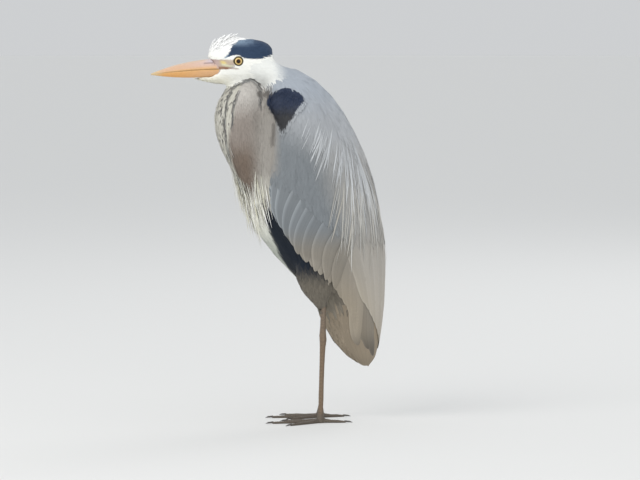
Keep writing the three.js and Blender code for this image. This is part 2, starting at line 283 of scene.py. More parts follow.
# One skin lies under all the feathers.
skinShape = {
    "grow": 1.3, "voxel": 2.65, "smooth": 22,  # closes the gaps between the solids, then rounds their facets
    "legGrow": 0.35, "legVoxel": 1.05, "legSmooth": 6,
    "thinShare": 0.3,  # how much of a thin place the coat may take from each side
    "faceReach": ([-104, -92, -83, -75], [4.6, 4.0, 1.6, 0.6]),  # depth of the bare face along the head
    "eyeOpening": 7.1, "eyeRim": 2.6, "eyeSink": 4.5, "lidReach": (9, 15), "lidDepth": 1.2,
    "billRoot": 39, "tibiaTop": 3,  # how much of them the body holds
}
coatDepth = {  # how far the skin lies under the outline of the feathers
    "head": 1.3, "crest": 2.0, "nape": 2.2, "neck": 2.4, "body": 2.8, "tail": 1.4, "shoulder": 2.4, "wing": 3.0,
    "thigh": 2.0, "leg": 0,
}
toes = ("middle", "inner", "outer", "hind")
flesh = {
    "head": ["head"], "crest": ["crest"], "nape": ["neck_upper"], "neck": ["neck_fold"], "body": ["trunk"],
    "tail": ["tail"], "shoulder": [f"shoulder_{side}" for side in sides],
    "wing": [f"wing_{side}_{part}" for side in sides for part in ("coverts", "secondaries", "primaries")],
    "thigh": [f"thigh_{side}" for side in sides],
    "leg": [f"{part}_{side}" for side in sides for part in ("tibia", "tarsus", *("toe_" + toe for toe in toes))],
}
groupNames = list(flesh)
eyeLow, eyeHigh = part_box("eye_left")
eyeCentre = np.array((eyeLow + eyeHigh) / 2) / mm
eyeRadius = (eyeHigh.z - eyeLow.z) / 2 / mm
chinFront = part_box("head")[0].y / mm
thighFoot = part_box("thigh_left")[0].z / mm
bareEdges = {  # of the bare face, as heights at places along the head
    "low": ([-106, -91, -87, -84, -66, -60], [604, 607, 611, 617, 617.5, 620]),
    "high": ([-108, -92, -84, -71, -62], [635, 633, 633, 632.2, 632.5]),
}


def copyNode(name, keepFrom=None, keepSide=None):
    # A merged copy of a solid, or of the part of it on one side of a plane.
    piece = bpy.data.objects.new(name + "_copy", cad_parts[name].data.copy())
    piece.data.materials.clear()
    bpy.context.scene.collection.objects.link(piece)
    editAll(piece, bpy.ops.mesh.remove_doubles, threshold=0.01 * mm)
    if keepFrom:
        place = [value * mm for value in keepFrom]
        editAll(piece, bpy.ops.mesh.bisect, plane_co=place, plane_no=keepSide, use_fill=True, clear_inner=True)
    return piece


def joined(pieces, name):
    deselect()
    for piece in pieces:
        piece.select_set(True)
    bpy.context.view_layer.objects.active = pieces[0]
    bpy.ops.object.join()
    pieces[0].name = pieces[0].data.name = name
    return pieces[0]


def fused(pieces, name, grow, voxel, rounds):
    piece = joined(pieces, name)
    if grow:
        modify(piece, "DISPLACE", strength=grow * mm, mid_level=0)
    modify(piece, "REMESH", mode="VOXEL", voxel_size=voxel * mm, use_smooth_shade=True)
    modify(piece, "SMOOTH", factor=0.5, iterations=rounds)
    return piece


def evened(values, ends, rounds):
    # Values at points, averaged with those of their neighbours a number of times.
    values = np.array(values, float)
    flat = values.reshape(len(values), -1)
    both = np.concatenate([ends, ends[:, ::-1]])
    count = np.maximum(np.bincount(both[:, 0], minlength=len(flat)), 1)
    for _ in range(rounds):
        for k in range(flat.shape[1]):
            total = np.bincount(both[:, 0], flat[both[:, 1], k], minlength=len(flat))
            flat[:, k] = 0.4 * flat[:, k] + 0.6 * total / count
    return flat.reshape(values.shape)


def isIn(groups, *names):
    return np.isin(groups, [groupNames.index(name) for name in names])


def bareFace(side, y, z):  # 1 on the bare skin round the bill and in front of the eye
    low, high = (np.interp(y, *bareEdges[edge]) for edge in ("low", "high"))
    return past(low, 0.6, z) * (1 - past(high, 0.6, z)) * fall(-63, -60, y) * ramp(3, 5, side)


def buildBody():
    solids = [(i, n) for i, group in enumerate(groupNames) if group != "leg" for n in flesh[group]]
    pieces = [copyNode(name) for _, name in solids] + [copyNode("eye_" + side) for side in sides]
    billPlane, thighPlane = (0, chinFront + skinShape["billRoot"], 0), (0, 0, thighFoot + skinShape["tibiaTop"])
    pieces += [copyNode("bill_" + half, billPlane, (0, 1, 0)) for half in ("upper", "lower")]
    pieces += [copyNode("tibia_" + side, thighPlane, (0, 0, 1)) for side in sides]
    body = fused(pieces, "skin", skinShape["grow"], skinShape["voxel"], skinShape["smooth"])
    mesh = body.data
    points, normals, ends = pointsOf(mesh), normalsOf(mesh), readAll(mesh.edges, "vertices", 2, np.int32)
    meshes = [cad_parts[name].data for _, name in solids]
    owners = np.concatenate([np.full(len(trianglesOf(m)), i) for (i, _), m in zip(solids, meshes)])
    solidTree, own = treeOf(meshes), treeOf([mesh])
    groups = np.array([owners[solidTree.find_nearest(p)[2]] for p in points.tolist()])
    depth = np.array([coatDepth[group] for group in groupNames])[groups]
    for i, (point, normal) in enumerate(zip(points, normals)):
        inward = Vector(-normal)
        hit = own.ray_cast(Vector(point) + inward * 0.2, inward, 40)[3]
        if hit is not None:
            depth[i] = min(depth[i], skinShape["thinShare"] * hit)
    head = isIn(groups, "head", "crest")
    x, y, z = points.T
    depth = depth * (1 - 0.45 * ramp(-60, -100, y) * head)  # thinner towards the bill
    fromEye = np.hypot(y - eyeCentre[1], z - eyeCentre[2])
    nearEye = fall(*skinShape["lidReach"], fromEye) * head
    depth = evened(depth, ends, 10) * (1 - nearEye) + skinShape["lidDepth"] * nearEye
    bare = bareFace(np.abs(x), y, z) * head
    depth = depth * (1 - bare) + np.interp(y, *skinShape["faceReach"]) * bare
    opening = head & (fromEye < skinShape["eyeOpening"])
    points = points - normals * (evened(depth, ends, 3) + skinShape["grow"])[:, None]
    opening &= np.abs(points[:, 0]) > 6
    rim = skinShape["eyeOpening"]
    sink = skinShape["eyeSink"] * fall(rim - skinShape["eyeRim"], rim, fromEye[opening])
    points[opening, 0] -= np.sign(points[opening, 0]) * sink
    setPoints(mesh, points)
    return body, groups, ends


tones = {
    "crown": (0.93, 0.93, 0.92), "white": (0.92, 0.92, 0.87), "nape": (0.80, 0.81, 0.78),
    "throat": (0.86, 0.84, 0.72), "crest": (0.032, 0.056, 0.105), "crestSheen": (0.22, 0.30, 0.40),
    "loreYellow": (0.72, 0.585, 0.235),
    "loreTan": (0.50, 0.40, 0.32), "loreGreen": (0.66, 0.66, 0.46), "loreMauve": (0.50, 0.38, 0.35),
    "loreGrey": (0.39, 0.34, 0.37), "gape": (0.25, 0.125, 0.075), "mantleTop": (0.355, 0.39, 0.437),
    "mantle": (0.35, 0.365, 0.385), "back": (0.40, 0.38, 0.35), "covert": (0.195, 0.213, 0.228),
    "wingMid": (0.262, 0.24, 0.205), "wingLow": (0.345, 0.30, 0.235), "primary": (0.19, 0.166, 0.135),
    "neckTop": (0.535, 0.51, 0.475), "neckMid": (0.282, 0.247, 0.22), "neckLow": (0.168, 0.127, 0.098),
    "neckFront": (0.56, 0.545, 0.48), "streak": (0.095, 0.100, 0.102), "neckShade": (0.13, 0.12, 0.11),
    "neckRear": (0.312, 0.293, 0.267), "strand": (0.53, 0.52, 0.465), "shoulder": (0.008, 0.0185, 0.050),
    "shoulderLow": (0.026, 0.027, 0.030), "flank": (0.010, 0.015, 0.024), "olive": (0.050, 0.048, 0.036),
    "belly": (0.43, 0.455, 0.405), "bellyTop": (0.74, 0.745, 0.68), "thigh": (0.15, 0.134, 0.109),
    "vent": (0.20, 0.18, 0.145), "tail": (0.275, 0.228, 0.168), "plume": (0.52, 0.54, 0.555),
    "cream": (0.60, 0.58, 0.44), "leg": (0.215, 0.15, 0.095), "legTop": (0.21, 0.16, 0.115),
    "toe": (0.13, 0.105, 0.080), "claw": (0.045, 0.038, 0.032), "lidRim": (0.022, 0.014, 0.008),
    "lid": (0.085, 0.070, 0.030), "lidEdge": (0.20, 0.18, 0.10), "brow": (0.46, 0.40, 0.30),
    "billRidge": (0.62, 0.47, 0.36), "ridgeBase": (0.60, 0.53, 0.58), "billFlank": (0.66, 0.42, 0.27),
    "billPink": (0.64, 0.48, 0.43), "billEdge": (0.68, 0.39, 0.15), "billLower": (0.69, 0.355, 0.115),
    "lowerBase": (0.69, 0.40, 0.20), "billTip": (0.62, 0.46, 0.24), "billRoot": (0.50, 0.38, 0.35),
    "billSeamShade": (0.42, 0.24, 0.10), "nostril": (0.20, 0.11, 0.10),
}
scutes = {  # plates across the front of the tarsus and the top of the toes
    "height": 6.2, "depth": 0.42, "toeLength": 4.4, "toeDepth": 0.36, "width": 0.9, "toeTop": 14, "groove": 0.8,
    "rearShade": 0.18,
}


def layered(first, *layers):  # colours, or names of tones, laid one over another, each by its share
    colour = tones.get(first) if isinstance(first, str) else first
    for tone, share in layers:
        colour = mix(colour, tones.get(tone) if isinstance(tone, str) else tone, share)
    return colour


def buildLegs():
    legs = fused([copyNode(name) for name in flesh["leg"]], "legs", skinShape["legGrow"], skinShape["legVoxel"],
        skinShape["legSmooth"])
    points, normals = pointsOf(legs.data), normalsOf(legs.data)
    points = points - normals * skinShape["legGrow"]
    x, y, z = points.T
    tarsusLow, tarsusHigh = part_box("tarsus_left")
    ankle = np.array(tarsusLow + tarsusHigh) / 2 / mm
    shin = z > scutes["toeTop"]
    reach = np.hypot(np.abs(x) - ankle[0], y - ankle[1])
    step = np.where(shin, (z + 0.8 * np.abs(normals[:, 0])) / scutes["height"], reach / scutes["toeLength"])
    across = np.abs(step - np.round(step)) * np.where(shin, scutes["height"], scutes["toeLength"])
    facing = np.where(shin, ramp(0.0, 0.5, -normals[:, 1]), ramp(0.1, 0.6, normals[:, 2]))
    groove = fall(0.15, scutes["width"], across) * facing * ramp(4, 9, np.abs(z - tarsusHigh.z / mm))
    points = points - normals * (groove * np.where(shin, scutes["depth"], scutes["toeDepth"]))[:, None]
    points[:, 2] = np.maximum(points[:, 2], 0)
    setPoints(legs.data, points)
    colour = layered("leg", ("legTop", ramp(120, 190, z)), ("toe", fall(8, 26, z)))
    colour = mix(colour, colour * 0.5, groove * scutes["groove"])
    paint(legs.data, colour * (1 - scutes["rearShade"] * ramp(-0.2, 0.8, normals[:, 1]))[:, None])
    return legs


body, bodyGroups, skinEnds = buildBody()
legs = buildLegs()
print("body skin", len(body.data.polygons), "faces, legs", len(legs.data.polygons))

# The markings: edges and lines of the plumage, and lines of painted shade, most of them as seen from the side.
crestEdges = {  # of the black band, as heights at places along the head
    "low": ([-80, -75, -64, -56, -48, -40, -12, -4, 6], [634.4, 636.4, 640, 641, 638, 634, 634, 638, 645]),
    "front": ([-80, -75, -69.6, -66, -57, -45], [636, 639.5, 647, 656, 663, 669]),
    "halfGap": ([-60, -45, -28], [10, 8, 0]),  # white strip on the crown, between the two bands
}
foldMiddle = ([366, 378, 401, 430, 460, 492, 523, 553, 576, 589],  # heights, then places along y
    [-4, -6, -11, -20, -31, -40, -45, -46, -44.5, -42])
trunkMiddle = ([92, 150, 203, 255, 308, 343, 378, 430, 500, 560, 593, 619],
    [171, 150, 142, 124, 100, 90, 82, 73, 63, 50, 42, 39])
neckFrontEdges = {  # of the pale streaked band, which is turned to the left side; degrees at heights
    "turn": ([430, 480, 530], [2, 12, 26]), "halfWidth": ([400, 440, 490, 540], [14, 20, 27, 36]), "far": 16,
}
darkLines = [  # of the neck, each with a width
    ([(-64, 581), (-58, 585), (-52, 590), (-44, 592)], 2.8),
    ([(-43, 595), (-35, 597), (-27, 594.5), (-19, 588), (-15, 580), (-14, 566), (-15, 550)], 4.0),
    ([(-63, 583), (-68, 570), (-72, 557), (-75, 535), (-77, 524), (-75, 505), (-74, 486), (-70, 474),
        (-69, 458)], 2.1),
    ([(-51, 576), (-55, 566), (-59, 556), (-63, 542), (-62, 530), (-64, 514)], 2.1),
    ([(-79, 566), (-81, 552), (-82, 540), (-80, 522)], 1.1),
]
gapeLine = [(-108, 617.2), (-88, 618.0), (-70, 617.9), (-55, 616.8)]
palerLine = [(-83, 624.5), (-76, 622.8), (-66, 621.2)]  # greenish fold below the lores
yellowLore = {"middle": (-81, 627.8), "half": (6, 2.8), "slope": 0.2}
shoulderPatch = {  # front and rear edges of the black patch at heights
    "height": [509, 518, 527, 535, 544, 553, 562, 569, 576, 583],
    "front": [12, 9, 5.5, 2, -1, -6, -7, -5, 0.5, 17], "rear": [18, 21, 25, 32, 37, 44, 53, 51, 44, 31],
}
bellyEdge = ([262, 282, 308, 334, 352, 375], [3, 9, 16, 20, 21, 22])  # degrees round the breast, at heights
# painted shadow in the gap between the folded neck and the wing
neckGapShadow = [(10, 520), (9, 505), (7, 488)]
neckHollowShade = [(-15, 574), (2, 574)]  # painted shade in the hollow below the nape, in front of the black patch
coverEdge = ([225, 241, 261, 289, 305], [124, 100, 75, 48, 38])  # where the wing ends over the thigh: heights, y
sideView = 0.14  # a place on the near side shows this share of its distance from the middle further back


def nearLine(y, z, line):  # distance from a line of points
    best = np.full(len(y), 1e9)
    for (y0, z0), (y1, z1) in zip(line, line[1:]):
        along = np.clip(((y - y0) * (y1 - y0) + (z - z0) * (z1 - z0)) / ((y1 - y0) ** 2 + (z1 - z0) ** 2), 0, 1)
        best = np.minimum(best, np.hypot(y - y0 - along * (y1 - y0), z - z0 - along * (z1 - z0)))
    return best


def greyPlumage(y, z):  # of the mantle and wings, bluer above and browner towards the tips
    mantle = layered("mantle", ("mantleTop", ramp(520, 590, z)), ("back", fall(400, 520, z)))
    # Painted light: the rear of the mantle is made lighter, where the lamps' light falls off.
    mantle = mantle * (1 + 0.13 * ramp(70, 130, y) * fall(560, 600, z))[..., None]
    wing = layered("covert", ("wingMid", fall(295, 350, z)), ("wingLow", fall(200, 295, z)),
        ("primary", fall(120, 165, z)))
    fore = fall(60, 120, y + 0.35 * (z - 430))
    lower = fall(455, 530, z + 0.5 * (y - 60))
    return mix(mantle, wing, np.maximum(lower * (0.45 + 0.55 * fore), 0))


def headColour(side, y, z):
    low = np.interp(y, *crestEdges["low"])
    front = np.interp(y, *crestEdges["front"], right=900)
    gap = np.interp(y, *crestEdges["halfGap"])
    black = past(low, 0.8, z) * (1 - past(front, 1.5, z))
    black *= ramp(gap - 2, gap + 1, side) * ramp(-81, -78, y) * fall(9, 13, y)
    # The top strip of the black crest is a painted sheen of pale blue; the crest's front tip takes the same pale
    # blue.
    crest = layered("crest", ("crestSheen", ramp(652, 666, z) * fall(-48, -22, y)),
        ("crestSheen", fall(-76, -69, y) * 0.9))
    (loreY, loreZ), (halfLong, halfHigh) = yellowLore["middle"], yellowLore["half"]
    fromYellow = np.hypot((y - loreY) / halfLong, (z - loreZ + yellowLore["slope"] * (y - loreY)) / halfHigh)
    lore = layered("loreMauve", ("loreTan", ramp(-91, -86, y)), ("loreYellow", fall(0.3, 1.3, fromYellow)),
        ("loreGrey", ramp(-72, -66, y) * fall(621, 626, z)),
        ("loreGreen", fall(0.9, 2.4, nearLine(y, z, palerLine)) * 0.9))
    wide = 1 + 0.7 * ramp(-94, -88, y) * fall(-76, -69, y)
    gape = fall(0.5, 1.9, nearLine(y, z, gapeLine) / wide) * (1 - 0.45 * ramp(-74, -62, y))
    return layered("white", ("crown", ramp(632, 655, z)), ("throat", fall(597, 610, z) * ramp(-50, -90, y)),
        ("nape", ramp(-30, 0, y) * fall(615, 640, z)), (crest, black), (lore, bareFace(side, y, z)),
        ("gape", gape * ramp(8, 11, side)))


def darkShare(side, y, z):
    share = np.zeros(len(y))
    for line, width in darkLines:
        share = np.maximum(share, fall(width * 0.5, width * 1.2, nearLine(y + sideView * side, z, line)))
    return share * ramp(6, 11, side)


def neckColour(x, y, z):
    seen = y + sideView * np.abs(x)
    turn = np.degrees(np.arctan2(x, np.interp(z, *foldMiddle) - y)) - np.interp(z, *neckFrontEdges["turn"])
    halfWidth = np.interp(z, *neckFrontEdges["halfWidth"]) + neckFrontEdges["far"] * (turn < 0)
    front = (1 - past(halfWidth, 6, np.abs(turn))) * ramp(395, 425, z)
    return layered("neckMid", ("neckTop", ramp(520, 580, z)), ("neckLow", fall(455, 505, z) * 0.9),
        ("cream", fall(376, 408, z)), ("neckRear", ramp(-40, -8, seen) * fall(525, 560, z)),
        ("strand", ramp(-26, -12, seen) * fall(396, 446, z)), ("neckFront", front),
        ("streak", darkShare(np.abs(x), y, z) * 0.6))


def besideNeck(seen, z):  # where the folded neck goes over into the breast and the wings
    return layered("neckMid", ("neckLow", fall(455, 505, z) * 0.9), ("neckRear", ramp(-40, -8, seen)),
        ("strand", ramp(-26, -12, seen) * fall(396, 446, z)))


def bodyColour(seen, x, y, z):
    front = np.degrees(np.arctan2(np.abs(x), np.interp(z, *trunkMiddle) - y))  # degrees from the breast's middle
    black = layered("flank", ("olive", fall(245, 275, z)))
    under = layered("belly", ("bellyTop", ramp(298, 345, z)), (black, past(np.interp(z, *bellyEdge), 2, front)),
        ("vent", ramp(78, 104, y) * fall(225, 275, z)))
    breast = mix(besideNeck(seen, z), under, fall(375, 392, z))
    limit = np.interp(z, [540, 578], [20, -16])
    ahead = fall(96, 112, front) * (1 - ramp(limit, limit + 25, y) * ramp(400, 430, z))
    return mix(greyPlumage(y, z), breast, ahead)


def patchShare(side, y, z):  # 1 on the black patch in front of the wing
    front, rear = (np.interp(z, shoulderPatch["height"], shoulderPatch[edge]) for edge in ("front", "rear"))
    patch = past(front, 1.5, y) * (1 - past(rear, 1.5, y)) * ramp(28, 34, side)
    return patch * ramp(506, 511, z) * fall(582, 586, z)


def markings(points, groups):
    # The colour of the plumage at points in or near each group of the body.
    x, y, z = points.T
    side = np.abs(x)
    seen = y + sideView * side
    group = {name: isIn(groups, name) for name in groupNames}
    # The black patch is bluer at its top, a painted sheen, and greyer below.
    patch = (layered("shoulder", ("shoulderLow", fall(530, 560, z))), patchShare(side, y, z))
    limit = np.interp(z, [540, 578], [4, -20])
    nearNeck = (besideNeck(seen, z), fall(limit, limit + 22, seen) * ramp(425, 450, z) * fall(582, 594, z))
    head = headColour(side, y, z)
    grey = layered(greyPlumage(y, z), nearNeck, patch)
    colours = np.zeros_like(points)
    for name, colour in {
        "head": head, "crest": head, "neck": neckColour(x, y, z), "wing": grey, "shoulder": grey,
        "nape": layered("nape", ("mantleTop", ramp(3, 36, y + 0.05 * (z - 600))),
            ("neckRear", fall(570, 584, z) * fall(-2, 10, y)), patch),
        "body": layered(bodyColour(seen, x, y, z), nearNeck, patch),
        "tail": np.ones_like(points) * tones["tail"], "thigh": np.ones_like(points) * tones["thigh"],
    }.items():
        colours[group[name]] = colour[group[name]]
    necklace = darkShare(side, y, z) * (group["nape"] | group["head"]) * (z < 600)
    # Painted shadow in the gap between the neck and the wing.
    slit = fall(0.4, 6.5, nearLine(seen, z, neckGapShadow)) * ramp(30, 40, side)
    # Painted shade in the hollow below the nape.
    hollow = fall(3, 9, nearLine(seen, z, neckHollowShade)) * ramp(14, 22, side)
    shaded = isIn(groups, "neck", "wing", "body", "nape", "shoulder")
    under = group["wing"] * fall(295, 300, z) * (y < np.interp(z, *coverEdge) + 8)
    throatShade = fall(3, 16, np.hypot((y + 5) / 0.8, (z - 560) / 2.2))
    return layered(colours, ("streak", necklace * 0.8),
        ("neckShade", np.maximum(slit * 0.7, hollow * 0.92) * shaded),
        (layered("flank", ("thigh", fall(238, 282, z))), np.maximum(group["thigh"], under)),
        ("neckShade", throatShade * group["neck"] * 0.7))


# How the feathers lie: side, back and up of a place, then the way outwards, back and up that feathers
# point there, then their length and width.
lie = {
    "head": [
        (8, -104, 643, 0.2, 0.4, 0.9, 4.5, 1.7), (4, -102, 655, 0.1, 0.6, 0.8, 7, 1.7),
        (8, -90, 664, 0.05, 0.9, 0.4, 9, 1.9), (5, -66, 673, 0, 1, 0.12, 12, 2.1),
        (10, -35, 668, 0, 1, -0.12, 14, 2.3), (10, -5, 655, 0, 1, -0.15, 15, 2.4),
        (22, -40, 650, 0, 1, -0.05, 12, 2.2), (20, -8, 645, 0, 1, -0.12, 14, 2.4),
        (20, -78, 640, 0, 1, 0.25, 6, 1.8), (20, -70, 609, 0, 1, -0.12, 6, 1.9),
        (22, -36, 612, 0, 1, -0.15, 9, 2.3), (21, -55, 617, 0, 1, -0.05, 4.5, 1.6),
        (20, -62, 642, 0, 1, 0.2, 5.5, 1.8), (22, -38, 630, 0, 1, -0.05, 7, 2),
        (3, -130, 600, 0, 1, -0.05, 4.5, 1.3), (8, -110, 598, 0, 1, -0.05, 6, 1.7),
        (8, -108, 604, 0, 1, -0.05, 5, 1.6), (12, -75, 592, 0, 1, -0.25, 9, 2.1),
        (16, -90, 606, 0, 1, -0.08, 5.5, 1.8),
    ],
    "nape": [
        (20, -30, 600, 0, 0.9, -0.3, 11, 2.6), (28, 0, 610, 0, 1, -0.35, 14, 2.8),
        (5, 20, 630, 0, 0.9, -0.5, 14, 3), (30, 20, 580, 0, 0.8, -0.6, 16, 3),
        (40, 50, 575, 0.1, 0.8, -0.6, 18, 4), (15, -5, 640, 0, 1, -0.2, 12, 2.6),
    ],
    "neck": [
        (15, -50, 592, 0.6, -0.25, -0.75, 9, 2.1), (12, -75, 580, 0.25, -0.5, -0.8, 9, 2),
        (5, -95, 545, 0.02, -0.1, -1, 14, 2.1), (20, -90, 550, 0.02, -0.1, -1, 14, 2.1),
        (45, -45, 530, 0.02, 0.05, -1, 15, 2.3), (25, -75, 470, 0, 0.25, -0.95, 20, 2.2),
        (45, -20, 440, 0, 0.35, -0.93, 22, 2.3), (35, -5, 500, 0.1, 0.15, -1, 16, 2.3),
        (20, -30, 400, 0, 0.45, -0.9, 26, 2.3), (25, -20, 588, 0.5, 0.3, -0.7, 10, 2.2),
    ],
    "body": [
        (25, -35, 390, 0, 0.35, -0.93, 26, 5), (60, -20, 420, 0, 0.3, -0.95, 22, 5),
        (60, -10, 520, 0.2, 0.05, -1, 16, 4), (30, -10, 320, 0, 0.5, -0.85, 26, 6),
        (55, 20, 330, 0, 0.5, -0.85, 24, 6), (25, 40, 262, 0, 0.65, -0.75, 22, 6),
        (15, 100, 190, 0, 0.5, -0.85, 30, 7), (20, 45, 615, 0.15, 0.75, -0.6, 18, 6),
        (50, 40, 600, 0.3, 0.5, -0.8, 18, 6), (60, 20, 575, 0.3, 0.2, -0.9, 18, 6),
        (40, 100, 575, 0.15, 0.5, -0.85, 26, 7), (30, 145, 500, 0.05, 0.3, -0.95, 32, 7),
        (20, 195, 330, 0, 0.05, -1, 36, 8), (15, 200, 240, 0, 0, -1, 34, 8),
    ],
    "shoulder": [(60, 20, 575, 0.3, 0.05, -0.9, 14, 3.4), (70, 18, 530, 0.1, 0.1, -1, 20, 3)],
    "wing": [
        (80, 30, 500, 0, -0.05, -1, 18, 7), (70, 5, 450, 0, 0.08, -1, 18, 7),
        (85, 70, 450, 0, -0.08, -1, 24, 9), (80, 100, 520, 0, 0, -1, 26, 8),
        (60, 150, 430, 0, 0.15, -1, 32, 8), (75, 20, 370, 0, 0.35, -0.95, 26, 10),
        (60, 120, 300, 0, 0.3, -0.93, 34, 10), (20, 170, 150, 0, 0.12, -1, 34, 9),
    ],
    "tail": [(10, 160, 130, 0, 0.3, -0.95, 30, 8)],
    "thigh": [
        (45, 80, 260, 0.1, 0.15, -1, 18, 3.4), (50, 60, 275, 0.05, 0.1, -1, 16, 3.6),
        (37, 90, 210, 0, 0, -1, 12, 2.6),
    ],
}
lie["crest"], lie["leg"] = lie["head"], lie["thigh"]


def lieOf(points, groups):
    # Directions and sizes of feathers, blended between the nearest rows of the table.
    ways, sizes = np.zeros_like(points), np.ones((len(points), 2))
    folded = np.concatenate([np.abs(points[:, :1]), points[:, 1:]], 1)
    for i, name in enumerate(groupNames):
        chosen = np.flatnonzero(groups == i)
        table = np.array(lie[name], float)
        gap = np.linalg.norm(folded[chosen, None, :] - table[None, :, :3], axis=2)
        weight = 1 / (gap + 6) ** 3
        weight /= weight.sum(1, keepdims=True)
        ways[chosen] = weight @ table[:, 3:6]
        sizes[chosen] = weight @ table[:, 6:8]
    ways[:, 0] *= np.clip(points[:, 0] / 8, -1, 1)
    return ways, sizes


def alongSkin(ways, normals):
    return unit(ways - normals * np.sum(ways * normals, axis=1, keepdims=True))


def unwrap(piece, start, width):
    # An unwrap of the skin's own shape in one part of the map, which the feathers' places on it are taken from.
    piece.data.uv_layers.new(name="OFBake")
    editAll(piece, bpy.ops.uv.smart_project, angle_limit=1.15, island_margin=0.004, scale_to_bounds=True)
    spots = readAll(piece.data.uv_layers["OFBake"].uv, "vector", 2) * (width, 1) + (start, 0)
    setMap(piece.data, "OFBake", spots)
    return spots


skinPoints = pointsOf(body.data)
skinNormals = unit(evened(normalsOf(body.data), skinEnds, 6))  # smooth, for the shading of feathers
skinWays, skinSizes = lieOf(skinPoints, bodyGroups)
skinWays = alongSkin(evened(skinWays, skinEnds, 14), skinNormals)
skinSizes = evened(skinSizes, skinEnds, 14)
skinCorners, skinLoops = trianglesOf(body.data), trianglesOf(body.data, "loops")
skinTree = treeOf([body.data])
paint(body.data, markings(skinPoints, bodyGroups))
triangleSides = skinPoints[skinCorners[:, 1:]] - skinPoints[skinCorners[:, :1]]
triangleAreas = np.linalg.norm(np.cross(triangleSides[:, 0], triangleSides[:, 1]), axis=1) / 2
spotShare = 0.88  # of the map's width, kept for the body; the legs have the rest
skinSpots = unwrap(body, 0, spotShare)
unwrap(legs, spotShare + 0.005, 0.995 - spotShare)
print("lie of the feathers and colours of the skin")


def scatter(mask, spacing):
    # Places on the skin at least a spacing apart, where the mask, one value for each point, is over a half.
    density = mask[skinCorners].mean(1) * triangleAreas / spacing[skinCorners].mean(1) ** 2
    count = int(density.sum() * 5)
    chosen = chance.choice(len(density), size=count, p=density / density.sum())
    shares = chance.dirichlet((1, 1, 1), size=count)
    places = np.einsum("nk,nkj->nj", shares, skinPoints[skinCorners[chosen]])
    gaps = np.einsum("nk,nk->n", shares, spacing[skinCorners[chosen]])
    free = np.einsum("nk,nk->n", shares, mask[skinCorners[chosen]]) > 0.5
    tree = KDTree(count)
    for i, place in enumerate(places.tolist()):
        tree.insert(place, i)
    tree.balance()
    kept = []
    for i in range(count):
        if free[i]:
            kept.append(i)
            for _, other, _ in tree.find_range(places[i], gaps[i]):
                free[other] = False
    return chosen[kept], shares[kept]


def rootsAt(chosen, shares):
    def blended(values, indices=skinCorners):
        return np.einsum("nk,nkj->nj", shares, values[indices[chosen]])
    return {
        "place": blended(skinPoints), "normal": unit(blended(skinNormals)), "way": unit(blended(skinWays)),
        "size": blended(skinSizes), "spot": blended(skinSpots, skinLoops),
        "group": bodyGroups[skinCorners[chosen, 0]],
    }


def walk(roots, length, shares, stray, follow, free):
    # The centre lines of feathers, laid over the skin from their roots step by step. Free ones hang clear
    # of hollows.
    place, normal = roots["place"].copy(), roots["normal"].copy()
    aside = np.cross(roots["way"], normal) * stray[:, None]
    way = unit(roots["way"] + aside)
    own = unit(way * (1 - free) + (roots["hang"] + aside) * free) if "hang" in roots else way.copy()
    lines = [(place, normal, way)]
    for last, share in zip(shares, shares[1:]):
        step = (length * (share - last))[:, None]
        ahead = place + way * step
        found = [skinTree.find_nearest(p) for p in ahead.tolist()]
        nearest = np.array([f[0] for f in found])
        corner = skinCorners[[f[2] for f in found], 0]
        loose = (np.linalg.norm(nearest - ahead, axis=1) > 0.55 * step[:, 0])[:, None]  # past the skin's end
        normal = unit(np.where(loose, normal, 0.35 * normal + skinNormals[corner]))
        clear = np.maximum(np.sum((ahead - nearest) * normal, axis=1), 0)
        place = np.where(loose, ahead - normal * step * 0.1, nearest + normal * (clear * free)[:, None])
        turned = (1 - follow) * own + follow * skinWays[corner]
        way = np.where(loose, way, unit(alongSkin(turned, normal) * (1 - free) + own * free))
        lines.append((place, normal, way))
    return [np.stack(column, 1) for column in zip(*lines)]


def lengthsAlong(places):  # along each line of places, from its start
    steps = np.linalg.norm(np.diff(places, axis=1), axis=2).cumsum(1)
    return np.concatenate([np.zeros((len(places), 1)), steps], 1)


